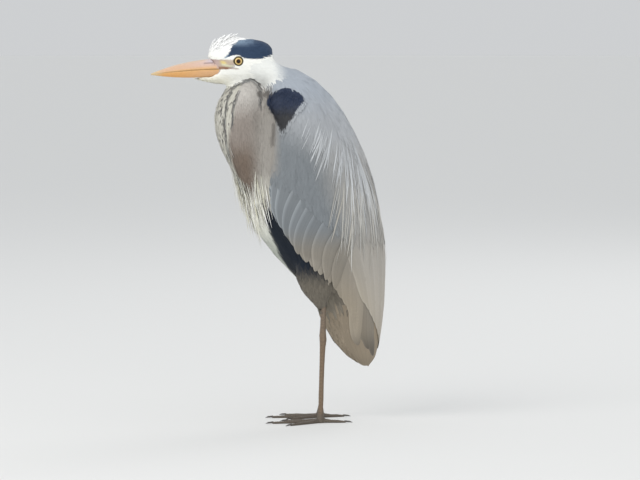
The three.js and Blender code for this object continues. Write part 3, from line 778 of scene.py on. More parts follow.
def vanes(name, lines, widths, lift, colours, spots, look):
    # Joins vanes into one piece. Each has rows of a left, a middle and a right point, and a tip.
    places, normals, ways = lines
    count, rows = places.shape[0], places.shape[1] - 1  # the last place is the tip
    tip = rows * 3
    last = tip - 3
    aside = unit(np.cross(ways, normals))[:, :rows]
    centre = places + normals * lift[..., None]
    spine, up, half = centre[:, :rows], normals[:, :rows], widths[:, :rows, None] / 2
    droop = up * (look["thick"] * 0.5)
    grid = np.stack([spine - aside * half - droop, spine + up * look["thick"], spine + aside * half - droop], 2)
    points = np.concatenate([grid.reshape(count, tip, 3), centre[:, rows:]], 1).reshape(-1, 3)
    a = np.arange(rows - 1) * 3
    quads = np.concatenate([
        np.stack([a, a + 1, a + 4, a + 3], 1), np.stack([a + 1, a + 2, a + 5, a + 4], 1),
        np.stack([a, a + 3, a + 5, a + 2], 1),
    ])
    threes = np.array([[last, last + 1, tip], [last + 1, last + 2, tip], [last, tip, last + 2], [0, 2, 1]])
    shift = (np.arange(count) * (tip + 1))[:, None, None]
    quads = (quads[None] + shift).reshape(-1, 4)
    threes = (threes[None] + shift).reshape(-1, 3)
    piece = meshFrom(name, points, [quads, threes])

    along = np.linspace(0, 1, rows + 1)
    # Painted shade: each vane is darker at its root, where the feathers laid over it shade it, by the look's
    # tone.
    shade = np.interp(along, [0, 0.5, 1], look["tone"])[np.append(np.repeat(np.arange(rows), 3), rows)]
    paint(piece.data, np.clip(colours[:, None] * shade[None, :, None], 0, 0.95).reshape(-1, 3))

    corners = np.concatenate([quads.ravel(), threes.ravel()])
    rolled = np.stack([up - aside * look["roll"], up, up + aside * look["roll"]], 2).reshape(count, tip, 3)
    rolled = np.concatenate([rolled, normals[:, rows:] + ways[:, rows:] * 0.2], 1)
    shading = unit(rolled + chance.normal(0, 0.05, (count, 1, 3))).reshape(-1, 3)[corners]
    under = np.concatenate([
        np.repeat(np.tile(np.repeat([False, False, True], rows - 1), count), 4),
        np.repeat(np.tile([False, False, True, True], count), 3),
    ])
    piece.data.normals_split_custom_set(np.where(under[:, None], -shading, shading))

    def tripled(values):  # one value for each row, given to its three points, and to the tip
        return np.concatenate([np.repeat(values[:, :rows], 3, axis=1), values[:, rows:]], 1)
    across = np.append(np.tile([-1.0, 0, 1.0], rows), 0)
    upward = tripled(lengthsAlong(places)) / 10 + chance.random((count, 1)) * 50
    setMap(piece.data, "vane", np.stack([across * tripled(widths) / 20, upward], 2).reshape(-1, 2)[corners])
    patch = np.stack([across * 0.0015, tripled(along[None])[0] * 0.003 - 0.0015], 1)
    setMap(piece.data, "OFBake", np.clip((spots[:, None] + patch[None]).reshape(-1, 2), 0, 1)[corners])
    return piece


def mathNode(tree, operation, *values):
    return newNode(tree, "Math", dict(enumerate(values)), operation=operation).outputs[0]


def newDetail(name, measure):
    # A group that gives the painted colour back with a fine pattern on it, and the pattern's height.
    group = bpy.data.node_groups.new(name, "ShaderNodeTree")
    for way, sockets in (("INPUT", ("Colour", "Strength", measure)), ("OUTPUT", ("Colour", "Height"))):
        for label in sockets:
            kind = "NodeSocketColor" if label == "Colour" else "NodeSocketFloat"
            group.interface.new_socket(label, in_out=way, socket_type=kind)
    return group, group.nodes.new("NodeGroupInput").outputs


def closeDetail(group, given, factor, height):
    shaded = newNode(group, "VectorMath", {0: given["Colour"], "Scale": factor}, operation="SCALE").outputs[0]
    fill(group, group.nodes.new("NodeGroupOutput"), {"Colour": shaded, "Height": height})
    return group


def objectPlace(tree):
    return newNode(tree, "TexCoord", {}).outputs["Object"]


def barbsGroup():
    # Fine barbs that slant from the middle of a vane to its edges, on the vane's own map in centimetres.
    group, given = newDetail("barbs", "Shaft")
    spot = newNode(group, "UVMap", {}, uv_map="vane").outputs[0]
    parts = newNode(group, "SeparateXYZ", {0: spot}).outputs
    aside = mathNode(group, "ABSOLUTE", parts[0])
    slant = mathNode(group, "MULTIPLY_ADD", aside, -1.6, parts[1])
    across, upward = mathNode(group, "MULTIPLY", parts[0], 3), mathNode(group, "MULTIPLY", slant, 26)
    place = newNode(group, "CombineXYZ", {0: across, 1: upward}).outputs[0]
    noise = newNode(group, "TexNoise", {"Vector": place, "Scale": 1, "Detail": 2}).outputs["Fac"]
    streak = mathNode(group, "MULTIPLY_ADD", noise, 2, -1)
    reach = {"Value": aside, "From Min": 0.012, "From Max": 0.05, "To Min": 1, "To Max": 0}
    shaft = mathNode(group, "MULTIPLY", newNode(group, "MapRange", reach).outputs[0], given["Shaft"])
    wave = mathNode(group, "MULTIPLY_ADD", streak, given["Strength"], 1)
    return closeDetail(group, given, mathNode(group, "SUBTRACT", wave, shaft), streak)


def downGroup():
    # Short down between the feathers' roots, as small light and dark specks.
    group, given = newDetail("down", "Scale")
    sockets = {"Vector": objectPlace(group), "Scale": given["Scale"], "Detail": 3}
    speck = mathNode(group, "MULTIPLY_ADD", newNode(group, "TexNoise", sockets).outputs["Fac"], 2, -1)
    return closeDetail(group, given, mathNode(group, "MULTIPLY_ADD", speck, given["Strength"], 1), speck)


def scalesGroup():
    # Small rounded scales with darker skin between them.
    group, given = newDetail("scales", "Scale")
    sockets = {"Vector": objectPlace(group), "Scale": given["Scale"]}
    cells = newNode(group, "TexVoronoi", sockets, feature="DISTANCE_TO_EDGE").outputs["Distance"]
    reach = {"Value": cells, "From Max": 0.22}
    dome = newNode(group, "MapRange", reach, interpolation_type="SMOOTHSTEP").outputs[0]
    shade = mathNode(group, "MULTIPLY", mathNode(group, "SUBTRACT", dome, 1), given["Strength"])
    return closeDetail(group, given, mathNode(group, "ADD", shade, 1), dome)


def finishFrom(name, group, detail, roughness, specular, bump, sheen=0.0):
    # A material whose colour is the piece's own painted colour, seen through one of the groups.
    shine = {"Roughness": roughness, "Specular IOR Level": specular, "Sheen Weight": sheen}
    material, tree, shader = newMaterial(name, shine)
    pattern = tree.nodes.new("ShaderNodeGroup")
    pattern.node_tree = group
    colour = newNode(tree, "Attribute", {}, attribute_name="plumage").outputs["Color"]
    fill(tree, pattern, {"Colour": colour, **detail})
    relief = {"Strength": bump, "Distance": 0.0002, "Height": pattern.outputs["Height"]}
    normal = newNode(tree, "Bump", relief).outputs["Normal"]
    fill(tree, shader, {"Base Color": pattern.outputs["Colour"], "Normal": normal})
    return material


eyeLook = {
    "shine": {"Roughness": 0.09, "Coat Weight": 0.15, "Coat Roughness": 0.02, "Specular IOR Level": 0.18},
    "noise": 900, "spread": 0.05,
    "rings": [  # from the middle of the pupil to the rim
        (0.0, (0.003, 0.002, 0.001)), (0.34, (0.006, 0.004, 0.002)), (0.39, (0.12, 0.050, 0.010)),
        (0.48, (0.36, 0.18, 0.045)), (0.57, (0.80, 0.62, 0.27)), (0.69, (0.74, 0.55, 0.22)),
        (0.75, (0.30, 0.19, 0.06)), (0.80, (0.03, 0.018, 0.008)), (1.0, (0.02, 0.012, 0.006)),
    ],
}


def eyeFinish():
    material, tree, shader = newMaterial("goldenEye", eyeLook["shine"])
    ring = newNode(tree, "Attribute", {}, attribute_name="ring").outputs["Fac"]
    noise = newNode(tree, "TexNoise", {"Vector": objectPlace(tree), "Scale": eyeLook["noise"]}).outputs["Fac"]
    spread = mathNode(tree, "MULTIPLY_ADD", noise, eyeLook["spread"], -eyeLook["spread"] / 2)
    rings = newNode(tree, "ValToRGB", {"Fac": mathNode(tree, "ADD", ring, spread)})
    steps = rings.color_ramp.elements
    for place, colour in eyeLook["rings"]:
        step = {0.0: steps[0], 1.0: steps[-1]}.get(place) or steps.new(place)
        step.color = (*colour, 1)
    fill(tree, shader, {"Base Color": rings.outputs["Color"]})
    return material


barbs, down, scales = barbsGroup(), downGroup(), scalesGroup()
finishes = {  # roughness, specular, bump and sheen follow the values of the pattern
    "skin": finishFrom("softDown", down, {"Scale": 420, "Strength": 0.12}, 0.85, 0.15, 0.3),
    "legs": finishFrom("legScales", scales, {"Scale": 460, "Strength": 0.30}, 0.5, 0.4, 0.45),
    "claw": finishFrom("clawHorn", down, {"Scale": 300, "Strength": 0.15}, 0.35, 0.5, 0.1),
    "bill": finishFrom("hornBill", down, {"Scale": 260, "Strength": 0.09}, 0.38, 0.5, 0.25),
    "bareSkin": finishFrom("bareSkin", down, {"Scale": 900, "Strength": 0.16}, 0.5, 0.4, 0.5),
    "soft": finishFrom("softPlumage", barbs, {"Strength": 0.10, "Shaft": 0.02}, 0.8, 0.15, 0.2, 0.1),
    "black": finishFrom("blackPlumage", barbs, {"Strength": 0.25, "Shaft": 0.0}, 0.5, 0.4, 0.2),
    "quill": finishFrom("firmVanes", barbs, {"Strength": 0.12, "Shaft": 0.10}, 0.62, 0.3, 0.2),
    "eye": eyeFinish(),
}
body.data.materials.append(finishes["skin"])
legs.data.materials.append(finishes["legs"])

billShape = {
    "rings": 190, "sides": 44, "crowded": 1.15, "sharpen": 1.12, "square": 0.92, "window": 15,
    "nostril": (-114, -97), "nostrilHeight": 0.60, "nostrilDepth": 1.1, "nostrilWidth": 0.75,
    "groove": (-152, -94), "grooveEnd": (-92, -86), "grooveDepth": 0.45, "grooveWidth": 1.5,
}


def ringsOf(name, places):
    # The low edge, high edge and half width of a solid at places along y, rounded between its rings.
    points = pointsOf(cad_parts[name].data)
    levels = np.unique(points[:, 1].round(2))
    rows = [points[np.abs(points[:, 1] - level) < 0.05] for level in levels]
    table = np.array([[r[:, 2].min(), r[:, 2].max(), np.abs(r[:, 0]).max()] for r in rows])
    even = np.linspace(levels[0], levels[-1], len(places) * 2)
    half = int(billShape["window"] / (even[1] - even[0]) / 2)
    result = []
    for column in table.T:
        line = np.interp(even, levels, column)
        padded = np.concatenate([2 * line[0] - line[half:0:-1], line, 2 * line[-1] - line[-2:-half - 2:-1]])
        rounded = np.convolve(padded, np.ones(2 * half + 1) / (2 * half + 1), "valid")
        result.append(np.interp(places, even, rounded))
    return result


def closedTube(name, rings):  # rings: rows of points; both ends are closed to their middles
    count, sides = rings.shape[:2]
    points = np.concatenate([rings.reshape(-1, 3), rings[:1].mean(1), rings[-1:].mean(1)])
    j = np.arange(sides)
    after = (j + 1) % sides
    start = np.arange(count - 1)[:, None] * sides
    quads = np.stack([start + j, start + after, start + after + sides, start + j + sides], 2).reshape(-1, 4)
    last = (count - 1) * sides
    first = np.stack([np.full(sides, count * sides), after, j], 1)
    final = np.stack([np.full(sides, count * sides + 1), last + j, last + after], 1)
    piece = meshFrom(name, points, [quads, np.concatenate([first, final])])
    editAll(piece, bpy.ops.mesh.normals_make_consistent, inside=False)
    return piece


def billHalf(name, node, upper):
    shape = billShape
    around = shape["sides"] // 2 + 1
    tip, root = (corner.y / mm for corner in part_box(node))
    y = tip + (root - tip) * np.linspace(0, 1, shape["rings"]) ** shape["crowded"]
    low, high, half = ringsOf(node, y)
    turn = np.linspace(0, math.pi, around)
    over = np.stack([np.cos(turn), np.sin(turn) ** shape["sharpen"]], 1)
    outline = np.concatenate([over, np.stack([np.linspace(-1, 1, around)[1:-1], np.zeros(around - 2)], 1)])
    x = half[:, None] * np.sign(outline[:, 0]) * np.abs(outline[:, 0]) ** shape["square"]
    height = (high - low)[:, None] * outline[:, 1]
    z = low[:, None] + height if upper else high[:, None] - height
    wide, level = y[:, None] * np.ones_like(x), outline[None, :, 1] * np.ones_like(x)
    outer = np.arange(len(outline))[None] < len(over)
    slit = np.zeros_like(x)
    if upper:
        front, rear = shape["nostril"]
        aside = (level - shape["nostrilHeight"]) * (high - low)[:, None]
        slit = past(front, 1.5, wide) * (1 - past(rear, 2, wide)) * outer
        slit = slit * np.exp(-(aside / shape["nostrilWidth"]) ** 2)
        fade = ramp(*shape["groove"], wide) * fall(*shape["grooveEnd"], wide)
        groove = fade * np.exp(-(aside / shape["grooveWidth"]) ** 2) * outer
        x = x - np.sign(x) * (slit * shape["nostrilDepth"] + groove * shape["grooveDepth"])
    piece = closedTube(name, np.stack([x, wide, z], 2))
    base = ramp(-165, -100, wide)
    if upper:
        colour = layered("billFlank", ("billPink", ramp(0.15, 0.6, level) * base),
            ("billEdge", fall(0.0, 0.35, level)), ("billRidge", ramp(0.72, 0.95, level)),
            ("ridgeBase", ramp(0.45, 0.8, level) * ramp(-118, -98, wide)),
            ("billRoot", ramp(-95, -89, wide) * 0.8))
    else:
        colour = layered("billLower", ("lowerBase", base), ("billEdge", fall(0, 0.3, level)))
    # Painted shade along the seam where the two halves of the bill meet, and on their inner faces that lie
    # against each other.
    seamShade = fall(0.0, 0.10, level) * outer * ramp(-196, -150, wide)
    seamShade = seamShade * (0.25 + 0.45 * ramp(-120, -90, wide))
    colour = layered(colour, ("billTip", fall(-204, -180, wide)), ("billSeamShade", seamShade), ("nostril", slit * 0.85),
        ("billSeamShade", ~outer * 0.8))
    paint(piece.data, np.concatenate([colour.reshape(-1, 3), colour[:1].mean(1), colour[-1:].mean(1)]))
    addToBird(piece, "bill", [node])


eyeShape = {
    "forward": 5, "down": 3, "lidRadius": 7.65, "lidThick": 1.25, "lidOut": 19.4, "corner": 0.9, "folds": 34,
    "foldDepth": 0.10, "rimSink": 0.4,
}


def sightOf(side):  # the way that an eye looks
    turn, dip = math.radians(eyeShape["forward"]), math.radians(eyeShape["down"])
    return Vector((side * math.cos(turn) * math.cos(dip), -math.sin(turn), -math.sin(dip)))


def settled(name, way):
    # Turns the piece just added along a way, and puts its place and turn into its mesh.
    piece = bpy.context.object
    piece.name = name
    aim(piece, way)
    bpy.ops.object.transform_apply(location=True, rotation=True, scale=True)
    bpy.ops.object.shade_smooth()
    return piece


def addEye(name, side):
    deselect()
    centre = Vector((side * eyeCentre[0], eyeCentre[1], eyeCentre[2])) * mm
    bpy.ops.mesh.primitive_uv_sphere_add(segments=72, ring_count=56, radius=eyeRadius * mm, location=centre)
    ball = settled("eyeball" + name.title(), sightOf(side))
    points = pointsOf(ball.data) - np.array(centre) / mm
    axis = np.array(sightOf(side))
    along = points @ axis
    aside = np.linalg.norm(points - along[:, None] * axis, axis=1)
    ring = np.where(along > 0, aside / eyeRadius, 1).astype(np.float32)
    ball.data.attributes.new("ring", "FLOAT", "POINT").data.foreach_set("value", ring)
    addToBird(ball, "eye", ["eye_" + name])


def addLid(name, side):
    # A ring of lid skin that holds the eyeball, a little pulled out to a corner in front.
    axis = np.array(sightOf(side))
    centre = np.array((side * eyeCentre[0], eyeCentre[1], eyeCentre[2]))
    centre = centre + axis * (eyeShape["lidOut"] - eyeCentre[0])
    deselect()
    bpy.ops.mesh.primitive_torus_add(major_segments=96, minor_segments=18, location=Vector(centre) * mm,
        major_radius=eyeShape["lidRadius"] * mm, minor_radius=eyeShape["lidThick"] * mm)
    lid = settled("lid" + name.title(), sightOf(side))
    points = pointsOf(lid.data)
    away = points - centre
    flat = away - (away @ axis)[:, None] * axis
    radius = np.linalg.norm(flat, axis=1)
    turn = np.arctan2(flat[:, 2], flat[:, 1])
    ahead = eyeShape["corner"] * np.maximum(-flat[:, 1] / radius, 0) ** 8 * ramp(6.8, 8.4, radius)
    folds = eyeShape["foldDepth"] * np.sin(turn * eyeShape["folds"]) * ramp(7.2, 8.2, radius)
    out = folds - eyeShape["rimSink"] * ramp(7.4, 8.6, radius)
    setPoints(lid.data, points + flat / radius[:, None] * ahead[:, None] + axis * out[:, None])
    brow = ramp(0.2, 0.9, np.sin(turn - 0.9)) * ramp(7.9, 8.6, radius)
    paint(lid.data, layered("lid", ("lidEdge", ramp(8.2, 8.9, radius)), ("brow", brow * 0.7),
        ("lidRim", fall(7.0, 7.9, radius))))
    addToBird(lid, "bareSkin")


billHalf("billUpper", "bill_upper", True)
billHalf("billLower", "bill_lower", False)
for eyeName, eyeSide in zip(sides, (1, -1)):
    addEye(eyeName, eyeSide)
    addLid(eyeName, eyeSide)
print("bill, eyes and lids")

# The outline of the closed wings is a map of the skin round an upright middle line.
mapAngles = np.arange(30.0, 180.1, 2.5)
mapHeights = np.arange(92.0, 606.0, 4.0)


def bodyMap():
    # How far the skin lies from the middle line at each angle and height, on the left side.
    table = np.zeros((len(mapHeights), len(mapAngles)))
    for i, height in enumerate(mapHeights):
        middle = np.interp(height, *trunkMiddle)
        for j, angle in enumerate(np.radians(mapAngles)):
            way = Vector((math.sin(angle), -math.cos(angle), 0))
            hit = skinTree.ray_cast(Vector((0, middle, height)) + way * 200, -way)[3]
            table[i, j] = 200 - hit if hit is not None and hit < 200 else 2
    for _ in range(2):
        padded = np.pad(table, 1, mode="edge")
        table = (padded[:-2, 1:-1] + padded[2:, 1:-1] + padded[1:-1, :-2] + padded[1:-1, 2:] + 2 * table) / 6
    return table


skinReach = bodyMap()


def onBody(angles, heights):  # points at angles round the body, over half a turn on its right side, and heights
    mirror = np.where(angles > 180, -1, 1)
    angles = np.where(angles > 180, 360 - angles, angles)
    i = np.clip((heights - mapHeights[0]) / 4, 0, len(mapHeights) - 1.001)
    j = np.clip((angles - mapAngles[0]) / 2.5, 0, len(mapAngles) - 1.001)
    low, left = i.astype(int), j.astype(int)
    up, on = i - low, j - left
    reach = (skinReach[low, left] * (1 - on) + skinReach[low, left + 1] * on) * (1 - up)
    reach = reach + (skinReach[low + 1, left] * (1 - on) + skinReach[low + 1, left + 1] * on) * up
    turn = np.radians(angles)
    middle = np.interp(heights, *trunkMiddle)
    return np.stack([mirror * reach * np.sin(turn), middle - reach * np.cos(turn), heights], -1)


def outOf(angles, heights):  # normals there
    onward = onBody(angles + 2, heights) - onBody(angles - 2, heights)
    return unit(np.cross(onward, onBody(angles, heights + 4) - onBody(angles, heights - 4)))


def angleAt(y, z):  # the angle round the body of a point seen from the side
    table = np.arange(30.0, 150.1, 1.0)
    return float(np.interp(y, onBody(table, np.full(len(table), float(z)))[:, 1], table))


print("map of the body")

quillShape = {
    "rows": 26, "columns": 9, "thick": 0.26, "arch": 0.5, "rootWidth": 0.5, "rootRise": 0.12, "coveredShade": 0.12,
    "edgeTone": (1.7, 0.03, 0.6),  # how the pale edge is made from the vane's colour, and its brightest
}
gridT = 1 - (1 - np.linspace(0, 1, quillShape["rows"])) ** 1.5
gridC = np.linspace(-1, 1, quillShape["columns"])


def quillFaces():
    # The faces of one feather: a top and an underside, and a rim between them.
    rows, columns = quillShape["rows"], quillShape["columns"]
    each = rows * columns
    i = (np.arange(rows - 1)[:, None] * columns + np.arange(columns - 1)[None]).ravel()
    upper = np.stack([i, i + 1, i + columns + 1, i + columns], 1)
    border = np.concatenate([np.arange(columns), np.arange(1, rows) * columns + columns - 1,
        (rows - 1) * columns + np.arange(columns - 2, -1, -1), np.arange(rows - 2, 0, -1) * columns])
    after = np.roll(border, -1)
    rim = np.stack([after, border, border + each, after + each], 1)
    return np.concatenate([upper, upper[:, ::-1] + each, rim])


def quills(name, rows, tipAt=0.8, pale=0.35, tone=None, flat=0.45, paleFrom=0.6):
    # Each row of the table is a feather of the left side: root, middle and tip as an angle and a height,
    # width, layer height, tilt of its front edge, brightness. They are made on both sides.
    table = np.array(rows, float)
    count, each = len(table), len(gridT) * len(gridC)
    t = gridT[None, :, None]
    spots = table[:, None, 0:2] * ((1 - t) * (1 - 2 * t)) + table[:, None, 2:4] * (4 * t * (1 - t))
    spots = spots + table[:, None, 4:6] * (t * (2 * t - 1))
    width, lift, tilt, bright = table[:, 6:, None, None].transpose(1, 0, 2, 3)
    centre, normal = onBody(spots[..., 0], spots[..., 1]), outOf(spots[..., 0], spots[..., 1])
    aside = unit(np.cross(unit(np.gradient(centre, axis=1)), normal))
    taper = quillShape["rootWidth"] + (1 - quillShape["rootWidth"]) * ramp(0, 0.35, gridT)
    rounding = np.sqrt(np.maximum(1 - np.clip((gridT - tipAt) / (1 - tipAt), 0, 1) ** 2, 0.004))
    spread = width / 2 * (taper * rounding)[None, :, None] * gridC
    wide = centre[:, :, None] + aside[:, :, None] * spread[..., None]
    angles = np.degrees(np.arctan2(wide[..., 0], np.interp(wide[..., 2], *trunkMiddle) - wide[..., 1])) % 360
    seat, up = onBody(angles, wide[..., 2]), outOf(angles, wide[..., 2])
    begun = ramp(0, 0.3, gridT)[:, None]
    rise = lift * (quillShape["rootRise"] + (1 - quillShape["rootRise"]) * ramp(0, 0.35, gridT))[None, :, None]
    rise = rise + tilt * (gridC + 1) / 2 * begun + quillShape["arch"] * (1 - gridC ** 2) * begun + 0.1
    top = seat + up * rise[..., None]
    under = top - up * (quillShape["thick"] * (0.35 + 0.65 * (1 - gridC ** 2)))[:, None]
    slope = unit(np.cross(np.gradient(top, axis=1), np.gradient(top, axis=2)))
    slope = slope * np.sign(np.sum(slope * up, axis=-1, keepdims=True))
    shading = unit(slope * (1 - flat) + up * flat).reshape(count, each, 3)

    colour = np.ones_like(seat) * tones[tone] if tone else greyPlumage(seat[..., 1], seat[..., 2])
    colour = colour * bright[..., None]
    gain, more, most = quillShape["edgeTone"]
    edge = np.broadcast_to(pale, count)[:, None, None] * ramp(paleFrom, 1.0, gridC)
    colour = mix(colour, np.minimum(colour * gain + more, most), edge)
    # Painted shade on the rear side of each quill, where the next one lies over it.
    colour = colour * (1 - quillShape["coveredShade"] * ramp(0.2, 1.0, -gridC))[None, None, :, None]

    both = np.concatenate([top.reshape(count, each, 3), under.reshape(count, each, 3)], 1)
    light = np.concatenate([shading, -shading], 1)
    mirror = (-1, 1, 1)
    faces = np.repeat(quillFaces()[None], count * 2, 0)
    faces[count:] = faces[count:, :, ::-1]
    faces = (faces + (np.arange(count * 2) * each * 2)[:, None, None]).reshape(-1, 4)
    corners = faces.ravel()
    piece = meshFrom(name, np.concatenate([both, both * mirror]).reshape(-1, 3), [faces])
    paint(piece.data, np.clip(np.tile(colour.reshape(count, each, 3), (2, 2, 1)), 0, 0.9).reshape(-1, 3))
    piece.data.normals_split_custom_set(np.concatenate([light, light * mirror]).reshape(-1, 3)[corners])

    lengths = np.broadcast_to(lengthsAlong(centre)[:, :, None] / 10, spread.shape)
    vane = np.stack([spread / 10, lengths], -1).reshape(count, each, 2) + chance.random((count, 1, 2)) * (0, 40)
    setMap(piece.data, "vane", np.tile(vane, (2, 2, 1)).reshape(-1, 2)[corners])
    across = math.ceil(math.sqrt(count * 2 * 3))  # each feather has a cell of its own in the other map
    cell = np.stack(np.divmod(np.arange(count * 2), across)[::-1], 1)[:, None]
    inCell = np.stack([np.tile((gridC + 1) / 2 * 0.42 + 0.04, len(gridT)),
        np.repeat(gridT * 0.92 + 0.04, len(gridC))], 1)
    spots = (cell + np.concatenate([inCell, inCell + (0.5, 0)])[None]) / (across, math.ceil(count * 2 / across))
    setMap(piece.data, "OFBake", spots.reshape(-1, 2)[corners])
    addToBird(piece, "quill")
    return piece


def wingBorder():
    # The front edge of the closed wing, as angles round the body at heights.
    heights, angles = np.arange(120.0, 471.0, 10.0), np.arange(30.0, 150.0, 1.0)
    edges = []
    for height in heights:
        spots = onBody(angles, np.full(len(angles), height))
        owners = bodyGroups[[skinCorners[skinTree.find_nearest(spot)[2], 0] for spot in spots.tolist()]]
        edges.append(angles[np.argmax(isIn(owners, "wing"))])
    return heights, np.convolve(np.pad(edges, 1, mode="edge"), np.ones(3) / 3, "valid")


wingEdge = wingBorder()


def borderPlace(height):  # the same edge as a place along y
    angle = np.interp([float(height)], *wingEdge)
    place = float(onBody(angle, np.array([float(height)]))[0, 1])
    return min(place, float(np.interp(height, *coverEdge, left=999, right=999)))


def sideRow(root, middle, tip, *rest):  # a row of the table from places seen from the side
    return tuple(value for y, z in (root, middle, tip) for value in (angleAt(y, z), z)) + rest


def tailRow(_, share):  # half of the tail, from the middle feather of the back round to those underneath
    turn = 176 - 132 * share
    return (turn * 0.6 + 60, 232, turn * 0.85 + 20, 165, turn, 94 + 5 * share, 19, 0.2 + 0.15 * (1 - share), 0.3,
        1.0 - 0.1 * share)


def primaryRow(_, share):  # dark tips, below all the others
    tip = 176 - 62 * share
    place = borderPlace(tip) + 7 + 20 * share
    return sideRow((place - 20, tip + 180), (place - 8, tip + 90), (place, tip), 20, 0.4, 0.5, 0.62)


def secondaryRow(i, share):
    tip = 288 - 154 * share
    place = borderPlace(tip) + 7
    return sideRow((place + 22 - 30 * share, tip + 150), (place - 6 * share, tip + 75), (place, tip),
        25, 1.2, 0.9, 1.0 - 0.05 * (i % 2) - 0.06 * share)


def tertialRow(i, share):  # over the back, rear ones lowest in place
    tip = 208 - 82 * share
    return (112 + 54 * share, tip + 235, 119 + 52 * share, tip + 115, 124 + 48 * share, tip, 26, 1.5, 0.8,
        1.06 - 0.05 * (i % 2))


def covertRow(i, share):
    tip = 358 - 122 * share
    place, lean = borderPlace(tip) + 4, float(ramp(0, 0.35, share))
    return sideRow((place + 6 + 40 * lean, tip + 116), (place - 3 + 12 * lean, tip + 58), (place, tip),
        28 - 5 * share, 1.5 + 1.0 * share, 0.88, 1.0 - 0.04 * (i % 3) - 0.05 * share)


def rowsOf(row, count):
    return [row(i, share) for i, share in enumerate(np.linspace(0, 1, count))]


largeTree = treeOf([piece.data for piece in (  # for what is laid over the large feathers
    quills("quillsTail", rowsOf(tailRow, 7), 0.75, 0.2, tone="tail"),
    quills("quillsPrimary", rowsOf(primaryRow, 6)),
    quills("quillsSecondary", rowsOf(secondaryRow, 12), 0.62, 0.25),
    quills("quillsTertial", rowsOf(tertialRow, 8), 0.6, 0.3),
    quills("quillsCovert", rowsOf(covertRow, 9), 0.45, np.linspace(0.85, 0.3, 9), flat=0.62,
        paleFrom=0.5),
)])


def riseOver(places, normals, reach=8.0):
    # How far the large feathers stand over places on the skin, evened along each line of places.
    rise = np.zeros(places.shape[:2])
    for i, (line, ways) in enumerate(zip(places.tolist(), normals.tolist())):
        for k, (place, way) in enumerate(zip(line, ways)):
            hit = largeTree.ray_cast(Vector(place) + Vector(way) * reach, -Vector(way), reach)[3]
            rise[i, k] = reach - hit if hit is not None else 0
    for _ in range(2):
        padded = np.pad(rise, ((0, 0), (1, 1)), mode="edge")
        rise = np.maximum(rise, (padded[:, :-2] + padded[:, 2:]) / 2)
    return rise


coatLook = {  # what a coat's feathers look like where its own call says nothing else
    "rows": 5, "longer": 1.0, "wider": 1.0, "lift": (0.25, 2.6), "liftVary": 0.25, "thick": 0.22, "jitter": 0.16,
    "stray": 0.1, "shape": (0.55, 0.95, 1.0, 0.85, 0.5), "fullAt": 0.92, "vary": 0.05, "roll": 0.45,
    # tone: the vane's colour at its root, middle and tip; the darker root is painted shade
    "tone": (0.86, 1.0, 1.05), "colourAt": 0.45, "follow": 0.5, "free": 0.0, "over": False, "finish": "soft",
}


def layDown(name, roots, length, width, colourOf, height, look, replaced=()):
    # Lays a vane from each root. height gives the lift at shares of the length; colourOf gives the colours.
    count = len(length)
    shares = np.linspace(0, 1, look["rows"] + 1)
    lines = walk(roots, length, shares, chance.normal(0, look["stray"], count), look["follow"], look["free"])
    lift = height(shares[None])
    if look["over"]:
        lift = lift + riseOver(*lines[:2])
    shape = np.interp(shares, np.linspace(0, look["fullAt"], len(look["shape"])), look["shape"])
    colours = colourOf(lines[0]) * np.exp(chance.normal(0, look["vary"], (count, 1)))
    piece = vanes(name, lines, width[:, None] * shape[None], lift, colours, roots["spot"], look)
    addToBird(piece, look["finish"], replaced)


def coat(name, slot, mask, cover, **changes):
    # Grows one region: roots are strewn over the masked skin and a vane is laid from each of them.
    look = {**coatLook, **changes}
    spacing = np.sqrt(skinSizes[:, 0] * look["longer"] * skinSizes[:, 1] * look["wider"] / cover)
    roots = rootsAt(*scatter(mask * 1.0, spacing))
    count = len(roots["place"])
    length = roots["size"][:, 0] * look["longer"] * np.exp(chance.normal(0, look["jitter"], count))
    width = roots["size"][:, 1] * look["wider"] * np.exp(chance.normal(0, look["jitter"] * 0.6, count))

    def height(shares):
        base, rise = look["lift"]
        return base + rise * np.exp(chance.normal(0, look["liftVary"], count))[:, None] * shares ** 0.8

    def colourOf(places):
        at = look["colourAt"] * look["rows"]
        low = int(at)
        spots = (places[:, 0], places[:, low] * (1 - at + low) + places[:, low + 1] * (at - low))
        atRoot, further = (markings(spot, roots["group"]) for spot in spots)
        rootOnPatch, onPatch = (patchShare(np.abs(spot[:, 0]), *spot[:, 1:].T) > 0.5 for spot in spots)
        return mix(further, atRoot, ~rootOnPatch & onPatch)
    layDown(name, roots, length, width, colourOf, height, look)


smallEdge = ([-10, 10, 28, 50, 80, 110, 150, 200], [432, 432, 422, 400, 372, 350, 335, 340])  # y, heights
eyeBare = 9.2  # no feathers this near to the middle of the eye


